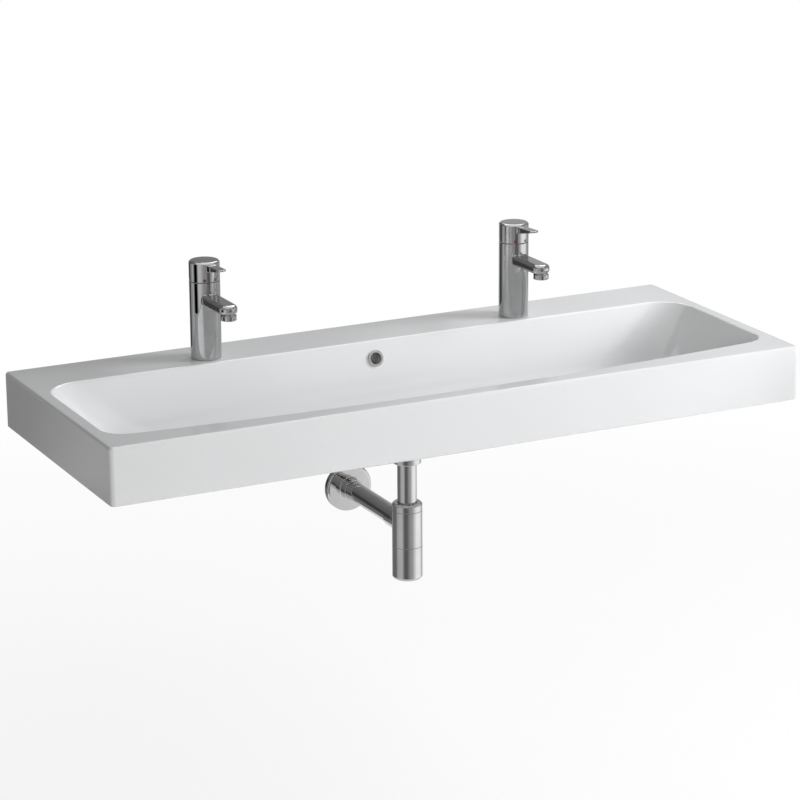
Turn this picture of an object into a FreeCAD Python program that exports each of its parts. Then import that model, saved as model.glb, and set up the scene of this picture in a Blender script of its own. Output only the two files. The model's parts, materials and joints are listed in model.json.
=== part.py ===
import FreeCAD, Part
import math
import os

# Wall-hung double washbasin with two single-lever taps and a bottle trap.
# Millimetres. The wall is the plane y = 0, the basin stands out towards -Y
# and +Z is up. The origin is midway between the two wall bolts, on the wall.

# Basin outside
BASIN_WIDTH = 1200.0
BASIN_DEPTH = 460.0
APRON_HEIGHT = 91.0
RIM_ABOVE_BOLTS = 55.0
CORNER_RADIUS = 7.0
RIM_RADIUS = 5.0
FOOT_RADIUS = 2.0
APRON_WALL = 14.0
SHELL_WALL = 13.0
CAVITY_CORNER_RADIUS = 12.0

# Bowl
END_RIM_WIDTH = 22.0
BOWL_BACK_SETBACK = 109.0
FRONT_RIM_WIDTH = 32.0
FRONT_ARC_RADIUS = 5400.0
BACK_CORNER_RADIUS = 55.0
FRONT_CORNER_RADIUS = 38.0
BACK_CORNER_FLOOR_SHARE = 0.460
FRONT_CORNER_FLOOR_SHARE = 0.348
END_LEAN_SHARE = 0.89
BACK_LEAN_SHARE = 0.25
FRONT_LEAN_SHARE = 0.22
END_BLEND_RADIUS = 110.0
BACK_BLEND_RADIUS = 45.0
FRONT_BLEND_RADIUS = 45.0
FLOOR_DEPTH = 104.0
FLOOR_FALL = 8.0
BOWL_OVERRUN = 3.0
END_BLEND_STEPS = 5
WALL_STEPS = 3
LOFT_DEGREE = 3
FLAT_HALF_WIDTH = 70.0
FLAT_BEHIND_DRAIN = 45.0
FLAT_FRONT_SHARE = 0.26
FLAT_CORNER_RADIUS = 30.0
FLAT_ARC_RADIUS = 900.0

# Drain in the bowl floor and the duct that joins the overflow to it
DRAIN_SETBACK = 230.0
DRAIN_HOLE_RADIUS = 22.8
DRAIN_RECESS_RADIUS = 33.0
DRAIN_RECESS_DEPTH = 2.5
DUCT_HALF_WIDTH = 18.0
DUCT_THICKNESS = 12.0
DUCT_WALL = 10.0
DUCT_TOP_BELOW_RIM = 14.0
DUCT_BACK_SETBACK = 88.0
DUCT_UPRIGHT_DEPTH = 16.0
DRAIN_GROOVE_RADIUS = 29.0
DRAIN_BOSS_RADIUS = 36.0
DUCT_BELOW_FLOOR = 2.0

# Overflow
OVERFLOW_BELOW_RIM = 28.6
OVERFLOW_HOLE_RADIUS = 11.2
OVERFLOW_RING_RADIUS = 13.75
OVERFLOW_MOUTH_RADIUS = 9.5
OVERFLOW_SLEEVE_RADIUS = 10.9
OVERFLOW_SLEEVE_LENGTH = 10.0
OVERFLOW_RING_THICKNESS = 2.2
OVERFLOW_RING_ROUND = 0.9
OVERFLOW_SEAT_GAP = 0.3
OVERFLOW_TOOL_LENGTH = 22.0

# Wall fixing
BOLT_SPACING = 720.0
BOLT_RADIUS = 5.0
BOLT_IN_WALL = 80.0
BOLT_STANDOUT = 34.0
BOLT_POINT_LENGTH = 6.0
BOLT_POINT_RADIUS = 2.0
BOLT_END_BEVEL = 1.0
BOLT_NECK_RADIUS = 4.4
BOLT_NECK_LENGTH = 1.2
SLEEVE_BARREL_RADIUS = 11.0
SLEEVE_HOLE_CLEARANCE = 0.3
SLEEVE_FLANGE_RADIUS = 16.0
SLEEVE_FLANGE = 3.0
SLEEVE_WALL_GAP = 1.5
WASHER_RADIUS = 15.0
WASHER_THICKNESS = 2.0
BOLT_NUT_FLATS = 17.0
BOLT_NUT_HEIGHT = 8.0
BOLT_PASS_CLEARANCE = 0.3
THREAD_CLEARANCE = 0.05

# Waste fitting
WASTE_FLANGE_RADIUS = 32.0
WASTE_FLANGE_THICKNESS = 2.3
WASTE_FLANGE_BEVEL = 1.0
WASTE_SEAL_THICKNESS = 1.2
WASTE_TUBE_RADIUS = 21.0
WASTE_TUBE_BORE = 17.5
WASTE_TUBE_END_BELOW_RIM = 169.0
OVERFLOW_PORT_WIDTH = 14.0
OVERFLOW_PORT_COUNT = 4
BOTTOM_SEAL_RADIUS = 33.0
BOTTOM_SEAL_THICKNESS = 3.0
BACKNUT_RADIUS = 31.0
BACKNUT_HEIGHT = 8.0
BACKNUT_NOTCHES = 6
BACKNUT_NOTCH_RADIUS = 4.0
SPIDER_THICKNESS = 3.0
SPIDER_ARM_WIDTH = 4.0
SPIDER_ARMS = 3
SPIDER_HUB_RADIUS = 6.0
LATCH_RADIUS = 9.0
LATCH_HEIGHT = 24.0
LATCH_BORE = 4.3
LATCH_FLOOR = 3.0
PLUG_RADIUS = 30.5
PLUG_THICKNESS = 4.0
PLUG_EDGE_RADIUS = 1.4
PLUG_LIFT_GAP = 0.4
PLUG_STEM_RADIUS = 4.0
PLUG_STEM_END_GAP = 1.0
PLUG_SEAL_OUTER = 23.5
PLUG_SEAL_INNER = 19.5
PLUG_SEAL_HEIGHT = 1.5
UNION_SEAL_THICKNESS = 2.0
UNION_NUT_RADIUS = 23.5
UNION_NUT_FLOOR = 2.5
UNION_NUT_HEIGHT = 14.5
UNION_NUT_BEVEL = 1.2
PIPE_FLANGE_RADIUS = 20.0
PIPE_FLANGE_THICKNESS = 2.0

# Trap
PIPE_RADIUS = 16.0
PIPE_BORE = 14.8
PIPE_PASS_CLEARANCE = 0.3
TRAP_RADIUS = 25.0
TRAP_TOP_BELOW_RIM = 243.0
TOP_NUT_HEIGHT = 13.0
TOP_NUT_LID = 3.0
TOP_NUT_BEVEL = 2.5
TOP_SEAL_THICKNESS = 4.0
SEAM_GAP = 0.3
NECK_RADIUS = 22.0
NECK_BORE = 20.2
DIP_FLANGE_RADIUS = 20.0
DIP_FLANGE_THICKNESS = 2.5
DIP_SHELF_THICKNESS = 3.0
DIP_TUBE_RADIUS = 17.6
DIP_TUBE_BORE = 16.2
DIP_TUBE_LENGTH = 88.0
DIP_TUBE_CLEARANCE = 0.2
TAILPIPE_IN_TRAP = 26.0
TRAP_BORE = 22.6
ARM_BELOW_RIM = 283.0
BODY_END_BELOW_ARM = 34.0
CUP_NECK_HEIGHT = 11.0
CUP_NECK_RADIUS = 22.4
CUP_NECK_BORE = 20.4
CUP_BORE = 23.2
CUP_FLOOR = 3.0
CUP_SEAL_THICKNESS = 2.0
TRAP_BOTTOM_BELOW_RIM = 374.0
CUP_EDGE_RADIUS = 5.0
SPIGOT_BOSS_RADIUS = 17.8
SPIGOT_BORE = 13.5
SPIGOT_BOSS_PROUD = 3.0
SPIGOT_LENGTH = 14.0
OUTLET_NUT_RADIUS = 17.8
OUTLET_NUT_LENGTH = 26.0
OUTLET_NUT_BEVEL = 0.8
OUTLET_SEAL_THICKNESS = 3.0
PIPE_INTO_WALL = 40.0
PIPE_MARK_IN_WALL = 6.0
PIPE_MARK_WIDTH = 1.5
PIPE_MARK_DEPTH = 0.4
ROSETTE_RADIUS = 41.5
ROSETTE_DEPTH = 13.0
ROSETTE_WALL = 1.5
ROSETTE_EDGE_RADIUS = 4.0
ROSETTE_COLLAR_RADIUS = 18.5
ROSETTE_COLLAR_END = 32.0
ROSETTE_RUNNING_FIT = 0.05

# Taps: the pivot is measured from the rim, the other heights from the pivot or the rim
TAP_SPACING = 564.0
TAP_SETBACK = 72.0
TAP_HOLE_RADIUS = 17.5
TAP_RADIUS = 25.0
CAP_TOP_ABOVE_PIVOT = 34.0
PIVOT_HEIGHT = 129.0
BODY_TOP_BELOW_PIVOT = 0.5
CAP_BOTTOM_ABOVE_PIVOT = 0.3
BODY_ABOVE_DECK = 0.4
BODY_EDGE_BEVEL = 0.4
BASE_SEAL_OUTER = 22.2
BASE_SEAL_INNER = 17.8
BASE_SEAL_HEIGHT = 2.2
BASE_SEAL_CLEARANCE = 0.3
BODY_HOLLOW_RADIUS = 16.0
BODY_HOLLOW_BELOW_PIVOT = 55.0
COLUMN_RADIUS = 8.2
COLUMN_BOTTOM = 8.0
INLET_OFFSET_X = 8.0
INLET_OFFSET_Y = 3.5
INLET_THREAD_RADIUS = 4.6
INLET_THREAD_LENGTH = 12.0
WATERWAY_RADIUS = 3.5
SEAT_BELOW_PIVOT = 23.0
OUTLET_OFFSET_Y = 9.0
OUTLET_RADIUS = 4.0
SPOUT_WAY_RADIUS = 5.5
SPOUT_AXIS_BELOW_PIVOT = 29.0
NUT_POCKET_BELOW_PIVOT = 11.0
NUT_POCKET_RADIUS = 20.2

# Spout and aerator
SPOUT_REACH = 108.0
SPOUT_WIDTH = 30.0
SPOUT_ROOT_BOTTOM_BELOW_PIVOT = 39.0
SPOUT_ROOT_TOP_BELOW_PIVOT = 20.0
SPOUT_TIP_BOTTOM_BELOW_PIVOT = 35.5
SPOUT_TIP_TOP_BELOW_PIVOT = 19.5
SPOUT_EDGE_RADIUS = 6.5
AERATOR_REACH = 95.0
AERATOR_RADIUS = 12.8
AERATOR_BOTTOM_BELOW_PIVOT = 44.5
AERATOR_NECK_RADIUS = 10.4
AERATOR_NECK_BELOW_PIVOT = 30.0
AERATOR_BORE = 8.8
AERATOR_LIP_RADIUS = 8.2
AERATOR_LIP = 1.0
AERATOR_BEVEL = 0.6
AERATOR_SEAT_GAP = 0.3
INSERT_TOP_BELOW_PIVOT = 32.0
INSERT_HOLE_RADIUS = 1.1
INSERT_HOLE_PITCH = 3.2

# Tap clamp under the deck
STUD_OFFSET_Y = 11.0
STUD_RADIUS = 4.0
STUD_TOP = 34.0
STUD_BELOW_DECK = 44.0
STUD_BEVEL = 0.8
CLAMP_RADIUS = 24.0
CLAMP_WINDOW_RADIUS = 14.5
CLAMP_WINDOW_OFFSET = 8.3
CLAMP_SEAL_THICKNESS = 3.0
CLAMP_PLATE_THICKNESS = 3.0
CLAMP_NUT_FLATS = 13.0
CLAMP_NUT_HEIGHT = 10.0
STUD_PASS_CLEARANCE = 0.3

# Cartridge
HOUSING_RADIUS = 17.5
HOUSING_BORE = 15.0
HOUSING_FLOOR = 3.0
HOUSING_TOP_BELOW_PIVOT = 3.0
HOUSING_LID = 2.0
HOUSING_CLEARANCE = 0.1
FIXED_DISC_RADIUS = 14.7
FIXED_DISC_THICKNESS = 3.0
MOVING_DISC_RADIUS = 10.5
MOVING_DISC_THICKNESS = 6.0
MOVING_POCKET_DEPTH = 4.0
MOVING_DISC_LIFT = 0.02
MIXING_SLOT_LENGTH = 12.0
MIXING_SLOT_WIDTH = 5.0
MIXING_SLOT_DEPTH = 1.6
POCKET_CLEARANCE = 0.25
ROTOR_FLANGE_RADIUS = 14.95
ROTOR_NECK_RADIUS = 12.45
ROTOR_FIT = 0.05
ROTOR_END_GAP = 0.3
ROTOR_TOP_ABOVE_PIVOT = 6.0
ROTOR_SLOT_HALF_LENGTH = 7.2
PIN_RADIUS = 1.5
PIN_HALF_LENGTH = 12.0
PIN_GRIP_CLEARANCE = 0.02
PIN_RUNNING_CLEARANCE = 0.05
STEM_WIDTH = 6.0
STEM_DEPTH = 8.0
STEM_SIDE_CLEARANCE = 0.1
STEM_BOTTOM_BELOW_PIVOT = 8.0
STEM_NECK_RADIUS = 1.8
STEM_BALL_RADIUS = 2.5
STEM_BALL_BELOW_PIVOT = 12.5
STEM_TOP_ABOVE_PIVOT = 26.5

# Dome nut over the cartridge
DOME_RADIUS = 20.0
DOME_SKIRT_RADIUS = 20.15
DOME_SKIRT_BELOW_PIVOT = 9.0
DOME_SKIRT_BORE = 17.9
DOME_TOP_ABOVE_PIVOT = 13.0
DOME_OPENING_RADIUS = 9.2
DOME_INNER_RADIUS = 13.5
DOME_LID = 2.5

# Lever cap
CAP_HOLLOW_RADIUS = 21.5
CAP_HOLLOW_ABOVE_PIVOT = 18.5
CAP_SIDE_ABOVE_PIVOT = 30.0
CAP_TOP_RADIUS = 22.8
CAP_TOP_EDGE_ABOVE_PIVOT = 32.6
CAP_BOTTOM_BEVEL = 0.4
SOCKET_TOP_ABOVE_PIVOT = 27.0
SOCKET_CLEARANCE = 0.05
LIFT_ANGLE = 18.0
RELIEF_EXTRA_ANGLE = 1.0
RELIEF_START = 2.0
LEVER_REACH = 76.0
LEVER_ROOT = 18.0
LEVER_ROOT_BOTTOM_ABOVE_PIVOT = 16.6
LEVER_ROOT_TOP_ABOVE_PIVOT = 29.3
LEVER_TIP_BOTTOM_ABOVE_PIVOT = 29.2
LEVER_TIP_TOP_ABOVE_PIVOT = 32.2
LEVER_WIDTH = 16.0
LEVER_EDGE_RADIUS = 1.1
GRUB_RADIUS = 2.5
GRUB_LENGTH = 9.0
GRUB_ABOVE_PIVOT = 22.5
GRUB_SOCKET_FLATS = 2.5
GRUB_SOCKET_DEPTH = 3.0
MARK_ANGLE = 22.0
MARK_RADIUS = 2.6
MARK_DEPTH = 1.5
MARK_ABOVE_PIVOT = 3.9
MARK_PROUD = 0.15

X_AXIS = FreeCAD.Vector(1, 0, 0)
Y_AXIS = FreeCAD.Vector(0, 1, 0)
Z_AXIS = FreeCAD.Vector(0, 0, 1)
ORIGIN = FreeCAD.Vector(0, 0, 0)
FULL_TURN = 360.0
QUARTER_TURN = 90.0
HEX_SIDES = 6
UPRIGHT_SHARE = 0.9

RIM = RIM_ABOVE_BOLTS
DECK_UNDERSIDE = RIM - SHELL_WALL
APRON_BOTTOM = RIM - APRON_HEIGHT
DRAIN_DEPTH = FLOOR_DEPTH + FLOOR_FALL
DRAIN_FLOOR = RIM - DRAIN_DEPTH
RECESS_FLOOR = DRAIN_FLOOR - DRAIN_RECESS_DEPTH
DUCT_TOP = DRAIN_FLOOR - SHELL_WALL - DUCT_BELOW_FLOOR
DUCT_BOTTOM = DUCT_TOP - DUCT_THICKNESS
BOSS_BOTTOM = DUCT_BOTTOM - DUCT_WALL
ARM_HEIGHT = RIM - ARM_BELOW_RIM
BOWL_HALF_WIDTH = BASIN_WIDTH / 2 - END_RIM_WIDTH
BOWL_FRONT_REACH = BASIN_DEPTH - FRONT_RIM_WIDTH
FLAT_BEFORE_DRAIN = (BASIN_DEPTH - DRAIN_SETBACK) * FLAT_FRONT_SHARE
TAP_HEIGHT = PIVOT_HEIGHT + CAP_TOP_ABOVE_PIVOT
BODY_HOLLOW_TOP = PIVOT_HEIGHT - BODY_HOLLOW_BELOW_PIVOT
CARTRIDGE_SEAT = PIVOT_HEIGHT - SEAT_BELOW_PIVOT
SPOUT_AXIS_HEIGHT = PIVOT_HEIGHT - SPOUT_AXIS_BELOW_PIVOT
NUT_POCKET_FLOOR = PIVOT_HEIGHT - NUT_POCKET_BELOW_PIVOT
SPOUT_ROOT_BOTTOM = PIVOT_HEIGHT - SPOUT_ROOT_BOTTOM_BELOW_PIVOT
SPOUT_ROOT_TOP = PIVOT_HEIGHT - SPOUT_ROOT_TOP_BELOW_PIVOT
SPOUT_TIP_BOTTOM = PIVOT_HEIGHT - SPOUT_TIP_BOTTOM_BELOW_PIVOT
SPOUT_TIP_TOP = PIVOT_HEIGHT - SPOUT_TIP_TOP_BELOW_PIVOT
AERATOR_BOTTOM = PIVOT_HEIGHT - AERATOR_BOTTOM_BELOW_PIVOT
AERATOR_NECK_TOP = PIVOT_HEIGHT - AERATOR_NECK_BELOW_PIVOT
INSERT_TOP = PIVOT_HEIGHT - INSERT_TOP_BELOW_PIVOT
HOUSING_TOP = PIVOT_HEIGHT - HOUSING_TOP_BELOW_PIVOT
STEM_TOP = PIVOT_HEIGHT + STEM_TOP_ABOVE_PIVOT
DOME_SKIRT_BOTTOM = PIVOT_HEIGHT - DOME_SKIRT_BELOW_PIVOT
CAP_HOLLOW_TOP = PIVOT_HEIGHT + CAP_HOLLOW_ABOVE_PIVOT
CAP_SIDE_TOP = PIVOT_HEIGHT + CAP_SIDE_ABOVE_PIVOT
CAP_TOP_EDGE = PIVOT_HEIGHT + CAP_TOP_EDGE_ABOVE_PIVOT
SOCKET_TOP = PIVOT_HEIGHT + SOCKET_TOP_ABOVE_PIVOT
LEVER_ROOT_BOTTOM = PIVOT_HEIGHT + LEVER_ROOT_BOTTOM_ABOVE_PIVOT
LEVER_ROOT_TOP = PIVOT_HEIGHT + LEVER_ROOT_TOP_ABOVE_PIVOT
LEVER_TIP_BOTTOM = PIVOT_HEIGHT + LEVER_TIP_BOTTOM_ABOVE_PIVOT
LEVER_TIP_TOP = PIVOT_HEIGHT + LEVER_TIP_TOP_ABOVE_PIVOT
GRUB_HEIGHT = PIVOT_HEIGHT + GRUB_ABOVE_PIVOT


def point(x, y, z):
    return FreeCAD.Vector(x, y, z)


def block(x_low, x_high, y_low, y_high, z_low, z_high):
    size = (x_high - x_low, y_high - y_low, z_high - z_low)
    return Part.makeBox(size[0], size[1], size[2], point(x_low, y_low, z_low))


def upright(radius, z_low, z_high, x=0, y=0):
    return Part.makeCylinder(radius, z_high - z_low, point(x, y, z_low), Z_AXIS)


def tube(outer, inner, z_low, z_high, x=0, y=0):
    return upright(outer, z_low, z_high, x, y).cut(upright(inner, z_low, z_high, x, y))


def level(radius, y_low, y_high, x=0, z=0):
    return Part.makeCylinder(radius, y_high - y_low, point(x, y_low, z), Y_AXIS)


def level_tube(outer, inner, y_low, y_high, x=0, z=0):
    return level(outer, y_low, y_high, x, z).cut(level(inner, y_low, y_high, x, z))


def turned(profile):
    """Solid of revolution about Z from (radius, height) corners."""
    corners = [point(radius, 0, height) for radius, height in profile]
    corners.append(corners[0])
    face = Part.Face(Part.makePolygon(corners))
    return face.revolve(ORIGIN, Z_AXIS, FULL_TURN)


def lay_back(shape):
    """Turn an upright shape so that its +Z end points to +Y."""
    shape.rotate(ORIGIN, X_AXIS, -QUARTER_TURN)
    return shape


def hexagon(flats, z_low, z_high, x=0, y=0):
    radius = flats / math.sqrt(3)
    corners = []
    for index in range(HEX_SIDES + 1):
        angle = math.radians(index * FULL_TURN / HEX_SIDES)
        corners.append(point(x + radius * math.cos(angle), y + radius * math.sin(angle), z_low))
    face = Part.Face(Part.makePolygon(corners))
    return face.extrude(point(0, 0, z_high - z_low))


def upright_edges(shape):
    return [edge for edge in shape.Edges if abs(edge.tangentAt(edge.FirstParameter).z) > UPRIGHT_SHARE]


def moved(shape, x, y, z):
    copy = shape.copy()
    copy.translate(point(x, y, z))
    return copy


# Basin

def wall_inset(depth, lean, blend, floor):
    """How far a leaning bowl wall has moved inwards at a depth below the rim.

    The wall is straight until it meets a round of the blend radius, which
    ends level with the floor.
    """
    angle = math.atan(lean)
    straight_end = floor - blend * (1 - math.sin(angle))
    if depth <= straight_end:
        return lean * depth
    foot = lean * straight_end + blend * math.cos(angle)
    cosine = (depth - floor + blend) / blend
    return foot - blend * math.sqrt(max(0, 1 - cosine * cosine))


def section_wire(height, half_width, back, front, back_radius, front_radius, arc_radius):
    """Closed plan outline: straight back and ends, bowed front, round corners."""
    inner_x = half_width - front_radius
    arc_centre = front + arc_radius
    drop = math.sqrt((arc_radius - front_radius) ** 2 - inner_x ** 2)
    corner_y = arc_centre - drop
    touch_share = arc_radius / (arc_radius - front_radius)
    touch_x = inner_x * touch_share
    touch_y = arc_centre - drop * touch_share
    heading = math.atan2(touch_y - corner_y, touch_x - inner_x) / 2
    mid_x = inner_x + front_radius * math.cos(heading)
    mid_y = corner_y + front_radius * math.sin(heading)
    slant = math.sqrt(2) / 2
    back_x = half_width - back_radius
    back_y = back - back_radius
    back_mid_x = back_x + back_radius * slant
    back_mid_y = back_y + back_radius * slant

    def at(x, y):
        return point(x, y, height)

    edges = [
        Part.LineSegment(at(-back_x, back), at(back_x, back)).toShape(),
        Part.Arc(at(back_x, back), at(back_mid_x, back_mid_y), at(half_width, back_y)).toShape(),
        Part.LineSegment(at(half_width, back_y), at(half_width, corner_y)).toShape(),
        Part.Arc(at(half_width, corner_y), at(mid_x, mid_y), at(touch_x, touch_y)).toShape(),
        Part.Arc(at(touch_x, touch_y), at(0, front), at(-touch_x, touch_y)).toShape(),
        Part.Arc(at(-touch_x, touch_y), at(-mid_x, mid_y), at(-half_width, corner_y)).toShape(),
        Part.LineSegment(at(-half_width, corner_y), at(-half_width, back_y)).toShape(),
        Part.Arc(at(-half_width, back_y), at(-back_mid_x, back_mid_y), at(-back_x, back)).toShape(),
    ]
    return Part.Wire(edges)


def bowl_depths():
    """Depths of the loft sections, closer together where the walls turn."""
    angle = math.atan(END_LEAN_SHARE)
    straight_end = FLOOR_DEPTH - END_BLEND_RADIUS * (1 - math.sin(angle))
    depths = [-BOWL_OVERRUN]
    for step in range(1, WALL_STEPS):
        depths.append(straight_end * step / WALL_STEPS)
    sweep = math.pi / 2 - angle
    for step in range(END_BLEND_STEPS):
        turn = sweep * (1 - step / (END_BLEND_STEPS - 1))
        depths.append(FLOOR_DEPTH - END_BLEND_RADIUS * (1 - math.cos(turn)))
    return depths


def floor_span():
    """Front-to-back length of the bowl where its walls end on the floor."""
    back = wall_inset(FLOOR_DEPTH, BACK_LEAN_SHARE, BACK_BLEND_RADIUS, FLOOR_DEPTH)
    front = wall_inset(FLOOR_DEPTH, FRONT_LEAN_SHARE, FRONT_BLEND_RADIUS, FLOOR_DEPTH)
    return BOWL_FRONT_REACH - BOWL_BACK_SETBACK - back - front


def eased(first, last, amount):
    return first + (last - first) * amount


def bowl_section(depth, grow):
    end = wall_inset(depth, END_LEAN_SHARE, END_BLEND_RADIUS, FLOOR_DEPTH)
    back = wall_inset(depth, BACK_LEAN_SHARE, BACK_BLEND_RADIUS, FLOOR_DEPTH)
    front = wall_inset(depth, FRONT_LEAN_SHARE, FRONT_BLEND_RADIUS, FLOOR_DEPTH)
    sunk = max(0, depth) / FLOOR_DEPTH
    span = floor_span()
    return {
        "half_width": BOWL_HALF_WIDTH - end + grow,
        "back": -BOWL_BACK_SETBACK - back + grow,
        "front": -BOWL_FRONT_REACH + front - grow,
        "back_radius": eased(BACK_CORNER_RADIUS, BACK_CORNER_FLOOR_SHARE * span, sunk),
        "front_radius": eased(FRONT_CORNER_RADIUS, FRONT_CORNER_FLOOR_SHARE * span, sunk),
        "arc_radius": FRONT_ARC_RADIUS,
    }


def flat_section(grow):
    """Plan outline of the level spot around the drain."""
    return {
        "half_width": FLAT_HALF_WIDTH + grow,
        "back": -DRAIN_SETBACK + FLAT_BEHIND_DRAIN + grow,
        "front": -DRAIN_SETBACK - FLAT_BEFORE_DRAIN - grow,
        "back_radius": FLAT_CORNER_RADIUS,
        "front_radius": FLAT_CORNER_RADIUS,
        "arc_radius": FLAT_ARC_RADIUS,
    }


def bowl_solid(grow):
    """The bowl space, or with a growth its outer skin: walls and then the floor."""
    stretch = (FLOOR_DEPTH + grow) / FLOOR_DEPTH
    wires = []
    for depth in bowl_depths():
        wires.append(section_wire(RIM - depth * stretch, **bowl_section(depth, grow)))
    walls = Part.makeLoft(wires, True, False, False, LOFT_DEGREE)
    flat = section_wire(RIM - DRAIN_DEPTH - grow, **flat_section(grow))
    floor = Part.makeLoft([wires[-1], flat], True, True)
    return walls.fuse(floor)


def outer_block():
    half = BASIN_WIDTH / 2
    body = block(-half, half, -BASIN_DEPTH, 0, APRON_BOTTOM, RIM)
    body = body.makeFillet(CORNER_RADIUS, upright_edges(body))
    top = [edge for edge in body.Edges if edge.BoundBox.ZMin > RIM - RIM_RADIUS]
    body = body.makeFillet(RIM_RADIUS, top)
    bottom = [edge for edge in body.Edges if edge.BoundBox.ZMax < APRON_BOTTOM + FOOT_RADIUS]
    return body.makeFillet(FOOT_RADIUS, bottom)


def inner_hollow():
    half = BASIN_WIDTH / 2 - APRON_WALL
    depth = BASIN_DEPTH - APRON_WALL
    hollow = block(-half, half, -depth, -APRON_WALL, APRON_BOTTOM - RIM, DECK_UNDERSIDE)
    return hollow.makeFillet(CAVITY_CORNER_RADIUS, upright_edges(hollow))


def duct_outside():
    half = DUCT_HALF_WIDTH + DUCT_WALL
    back = -DUCT_BACK_SETBACK + DUCT_WALL
    shaft = block(-half, half, -DRAIN_SETBACK, back, BOSS_BOTTOM, DECK_UNDERSIDE)
    boss = upright(DRAIN_BOSS_RADIUS, BOSS_BOTTOM, DRAIN_FLOOR - DRAIN_RECESS_DEPTH, 0, -DRAIN_SETBACK)
    return shaft.fuse(boss)


def duct_inside():
    half = DUCT_HALF_WIDTH
    front = -DUCT_BACK_SETBACK - DUCT_UPRIGHT_DEPTH
    top = RIM - DUCT_TOP_BELOW_RIM
    shaft = block(-half, half, front, -DUCT_BACK_SETBACK, DUCT_BOTTOM, top)
    run = block(-half, half, -DRAIN_SETBACK, -DUCT_BACK_SETBACK, DUCT_BOTTOM, DUCT_TOP)
    groove = upright(DRAIN_GROOVE_RADIUS, DUCT_BOTTOM, DUCT_TOP, 0, -DRAIN_SETBACK)
    return shaft.fuse(run).fuse(groove)


def lean_angle():
    return math.degrees(math.atan(BACK_LEAN_SHARE))


def overflow_place(shape):
    """Move an upright shape so that its +Z looks out of the back wall."""
    shape.rotate(ORIGIN, X_AXIS, QUARTER_TURN - lean_angle())
    inset = wall_inset(OVERFLOW_BELOW_RIM, BACK_LEAN_SHARE, BACK_BLEND_RADIUS, FLOOR_DEPTH)
    shape.translate(point(0, -BOWL_BACK_SETBACK - inset, RIM - OVERFLOW_BELOW_RIM))
    return shape


def build_basin():
    shell = outer_block().cut(inner_hollow())
    bowl = bowl_solid(0)
    skin = bowl_solid(SHELL_WALL)
    reach = BASIN_WIDTH
    above = block(-reach, reach, -reach, reach, DECK_UNDERSIDE + FOOT_RADIUS, RIM + reach)
    skin = skin.cut(above)
    body = shell.fuse(skin).fuse(duct_outside())
    body = body.cut(bowl)
    rim_edges = []
    for edge in body.Edges:
        box = edge.BoundBox
        on_rim = box.ZMin > RIM - FOOT_RADIUS / 2
        inside = box.YMax < -BOWL_BACK_SETBACK + RIM_RADIUS and box.YMin > -BASIN_DEPTH + APRON_WALL
        if on_rim and inside:
            rim_edges.append(edge)
    body = body.makeFillet(RIM_RADIUS, rim_edges)
    body = body.cut(duct_inside())
    body = body.cut(upright(DRAIN_HOLE_RADIUS, BOSS_BOTTOM, DRAIN_FLOOR, 0, -DRAIN_SETBACK))
    body = body.cut(upright(DRAIN_RECESS_RADIUS, RECESS_FLOOR, DRAIN_FLOOR + BOWL_OVERRUN, 0, -DRAIN_SETBACK))
    mouth = upright(OVERFLOW_HOLE_RADIUS, -OVERFLOW_TOOL_LENGTH, BOWL_OVERRUN)
    body = body.cut(overflow_place(mouth))
    for side in (-1, 1):
        tap_x = side * TAP_SPACING / 2
        body = body.cut(upright(TAP_HOLE_RADIUS, DECK_UNDERSIDE, RIM, tap_x, -TAP_SETBACK))
        bolt_x = side * BOLT_SPACING / 2
        hole_radius = SLEEVE_BARREL_RADIUS + SLEEVE_HOLE_CLEARANCE
        body = body.cut(level(hole_radius, -APRON_WALL, 0, bolt_x, 0))
    return body.removeSplitter()


def build_overflow_ring():
    face = OVERFLOW_SEAT_GAP
    front = face + OVERFLOW_RING_THICKNESS
    ring = tube(OVERFLOW_RING_RADIUS, OVERFLOW_MOUTH_RADIUS, face, front)
    outer = [edge for edge in ring.Edges if edge.BoundBox.ZMin > front - OVERFLOW_RING_ROUND / 2]
    ring = ring.makeFillet(OVERFLOW_RING_ROUND, outer)
    sleeve = tube(OVERFLOW_SLEEVE_RADIUS, OVERFLOW_MOUTH_RADIUS, -OVERFLOW_SLEEVE_LENGTH, face)
    return overflow_place(ring.fuse(sleeve).removeSplitter())


# Wall fixing: the two bolts and their nuts, washers and sleeves

def build_hanger_bolt():
    """A stud along Y: pointed end in the wall, a short neck, plain end in the room."""
    point_start = BOLT_IN_WALL - BOLT_POINT_LENGTH
    bolt = turned([
        (0, BOLT_IN_WALL),
        (BOLT_POINT_RADIUS, BOLT_IN_WALL),
        (BOLT_RADIUS, point_start),
        (BOLT_RADIUS, 0),
        (BOLT_NECK_RADIUS, 0),
        (BOLT_NECK_RADIUS, -BOLT_NECK_LENGTH),
        (BOLT_RADIUS, -BOLT_NECK_LENGTH),
        (BOLT_RADIUS, BOLT_END_BEVEL - BOLT_STANDOUT),
        (BOLT_RADIUS - BOLT_END_BEVEL, -BOLT_STANDOUT),
        (0, -BOLT_STANDOUT),
    ])
    return lay_back(bolt)


def build_sleeve():
    """Plastic bush that keeps the bolt off the fired clay."""
    face = -APRON_WALL
    flange = level(SLEEVE_FLANGE_RADIUS, face - SLEEVE_FLANGE, face)
    barrel = level(SLEEVE_BARREL_RADIUS, face, -SLEEVE_WALL_GAP)
    hole_radius = BOLT_RADIUS + BOLT_PASS_CLEARANCE
    return flange.fuse(barrel).cut(level(hole_radius, face - SLEEVE_FLANGE, 0)).removeSplitter()


def build_bolt_washer():
    back = -APRON_WALL - SLEEVE_FLANGE
    return level_tube(WASHER_RADIUS, BOLT_RADIUS + BOLT_PASS_CLEARANCE, back - WASHER_THICKNESS, back)


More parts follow.
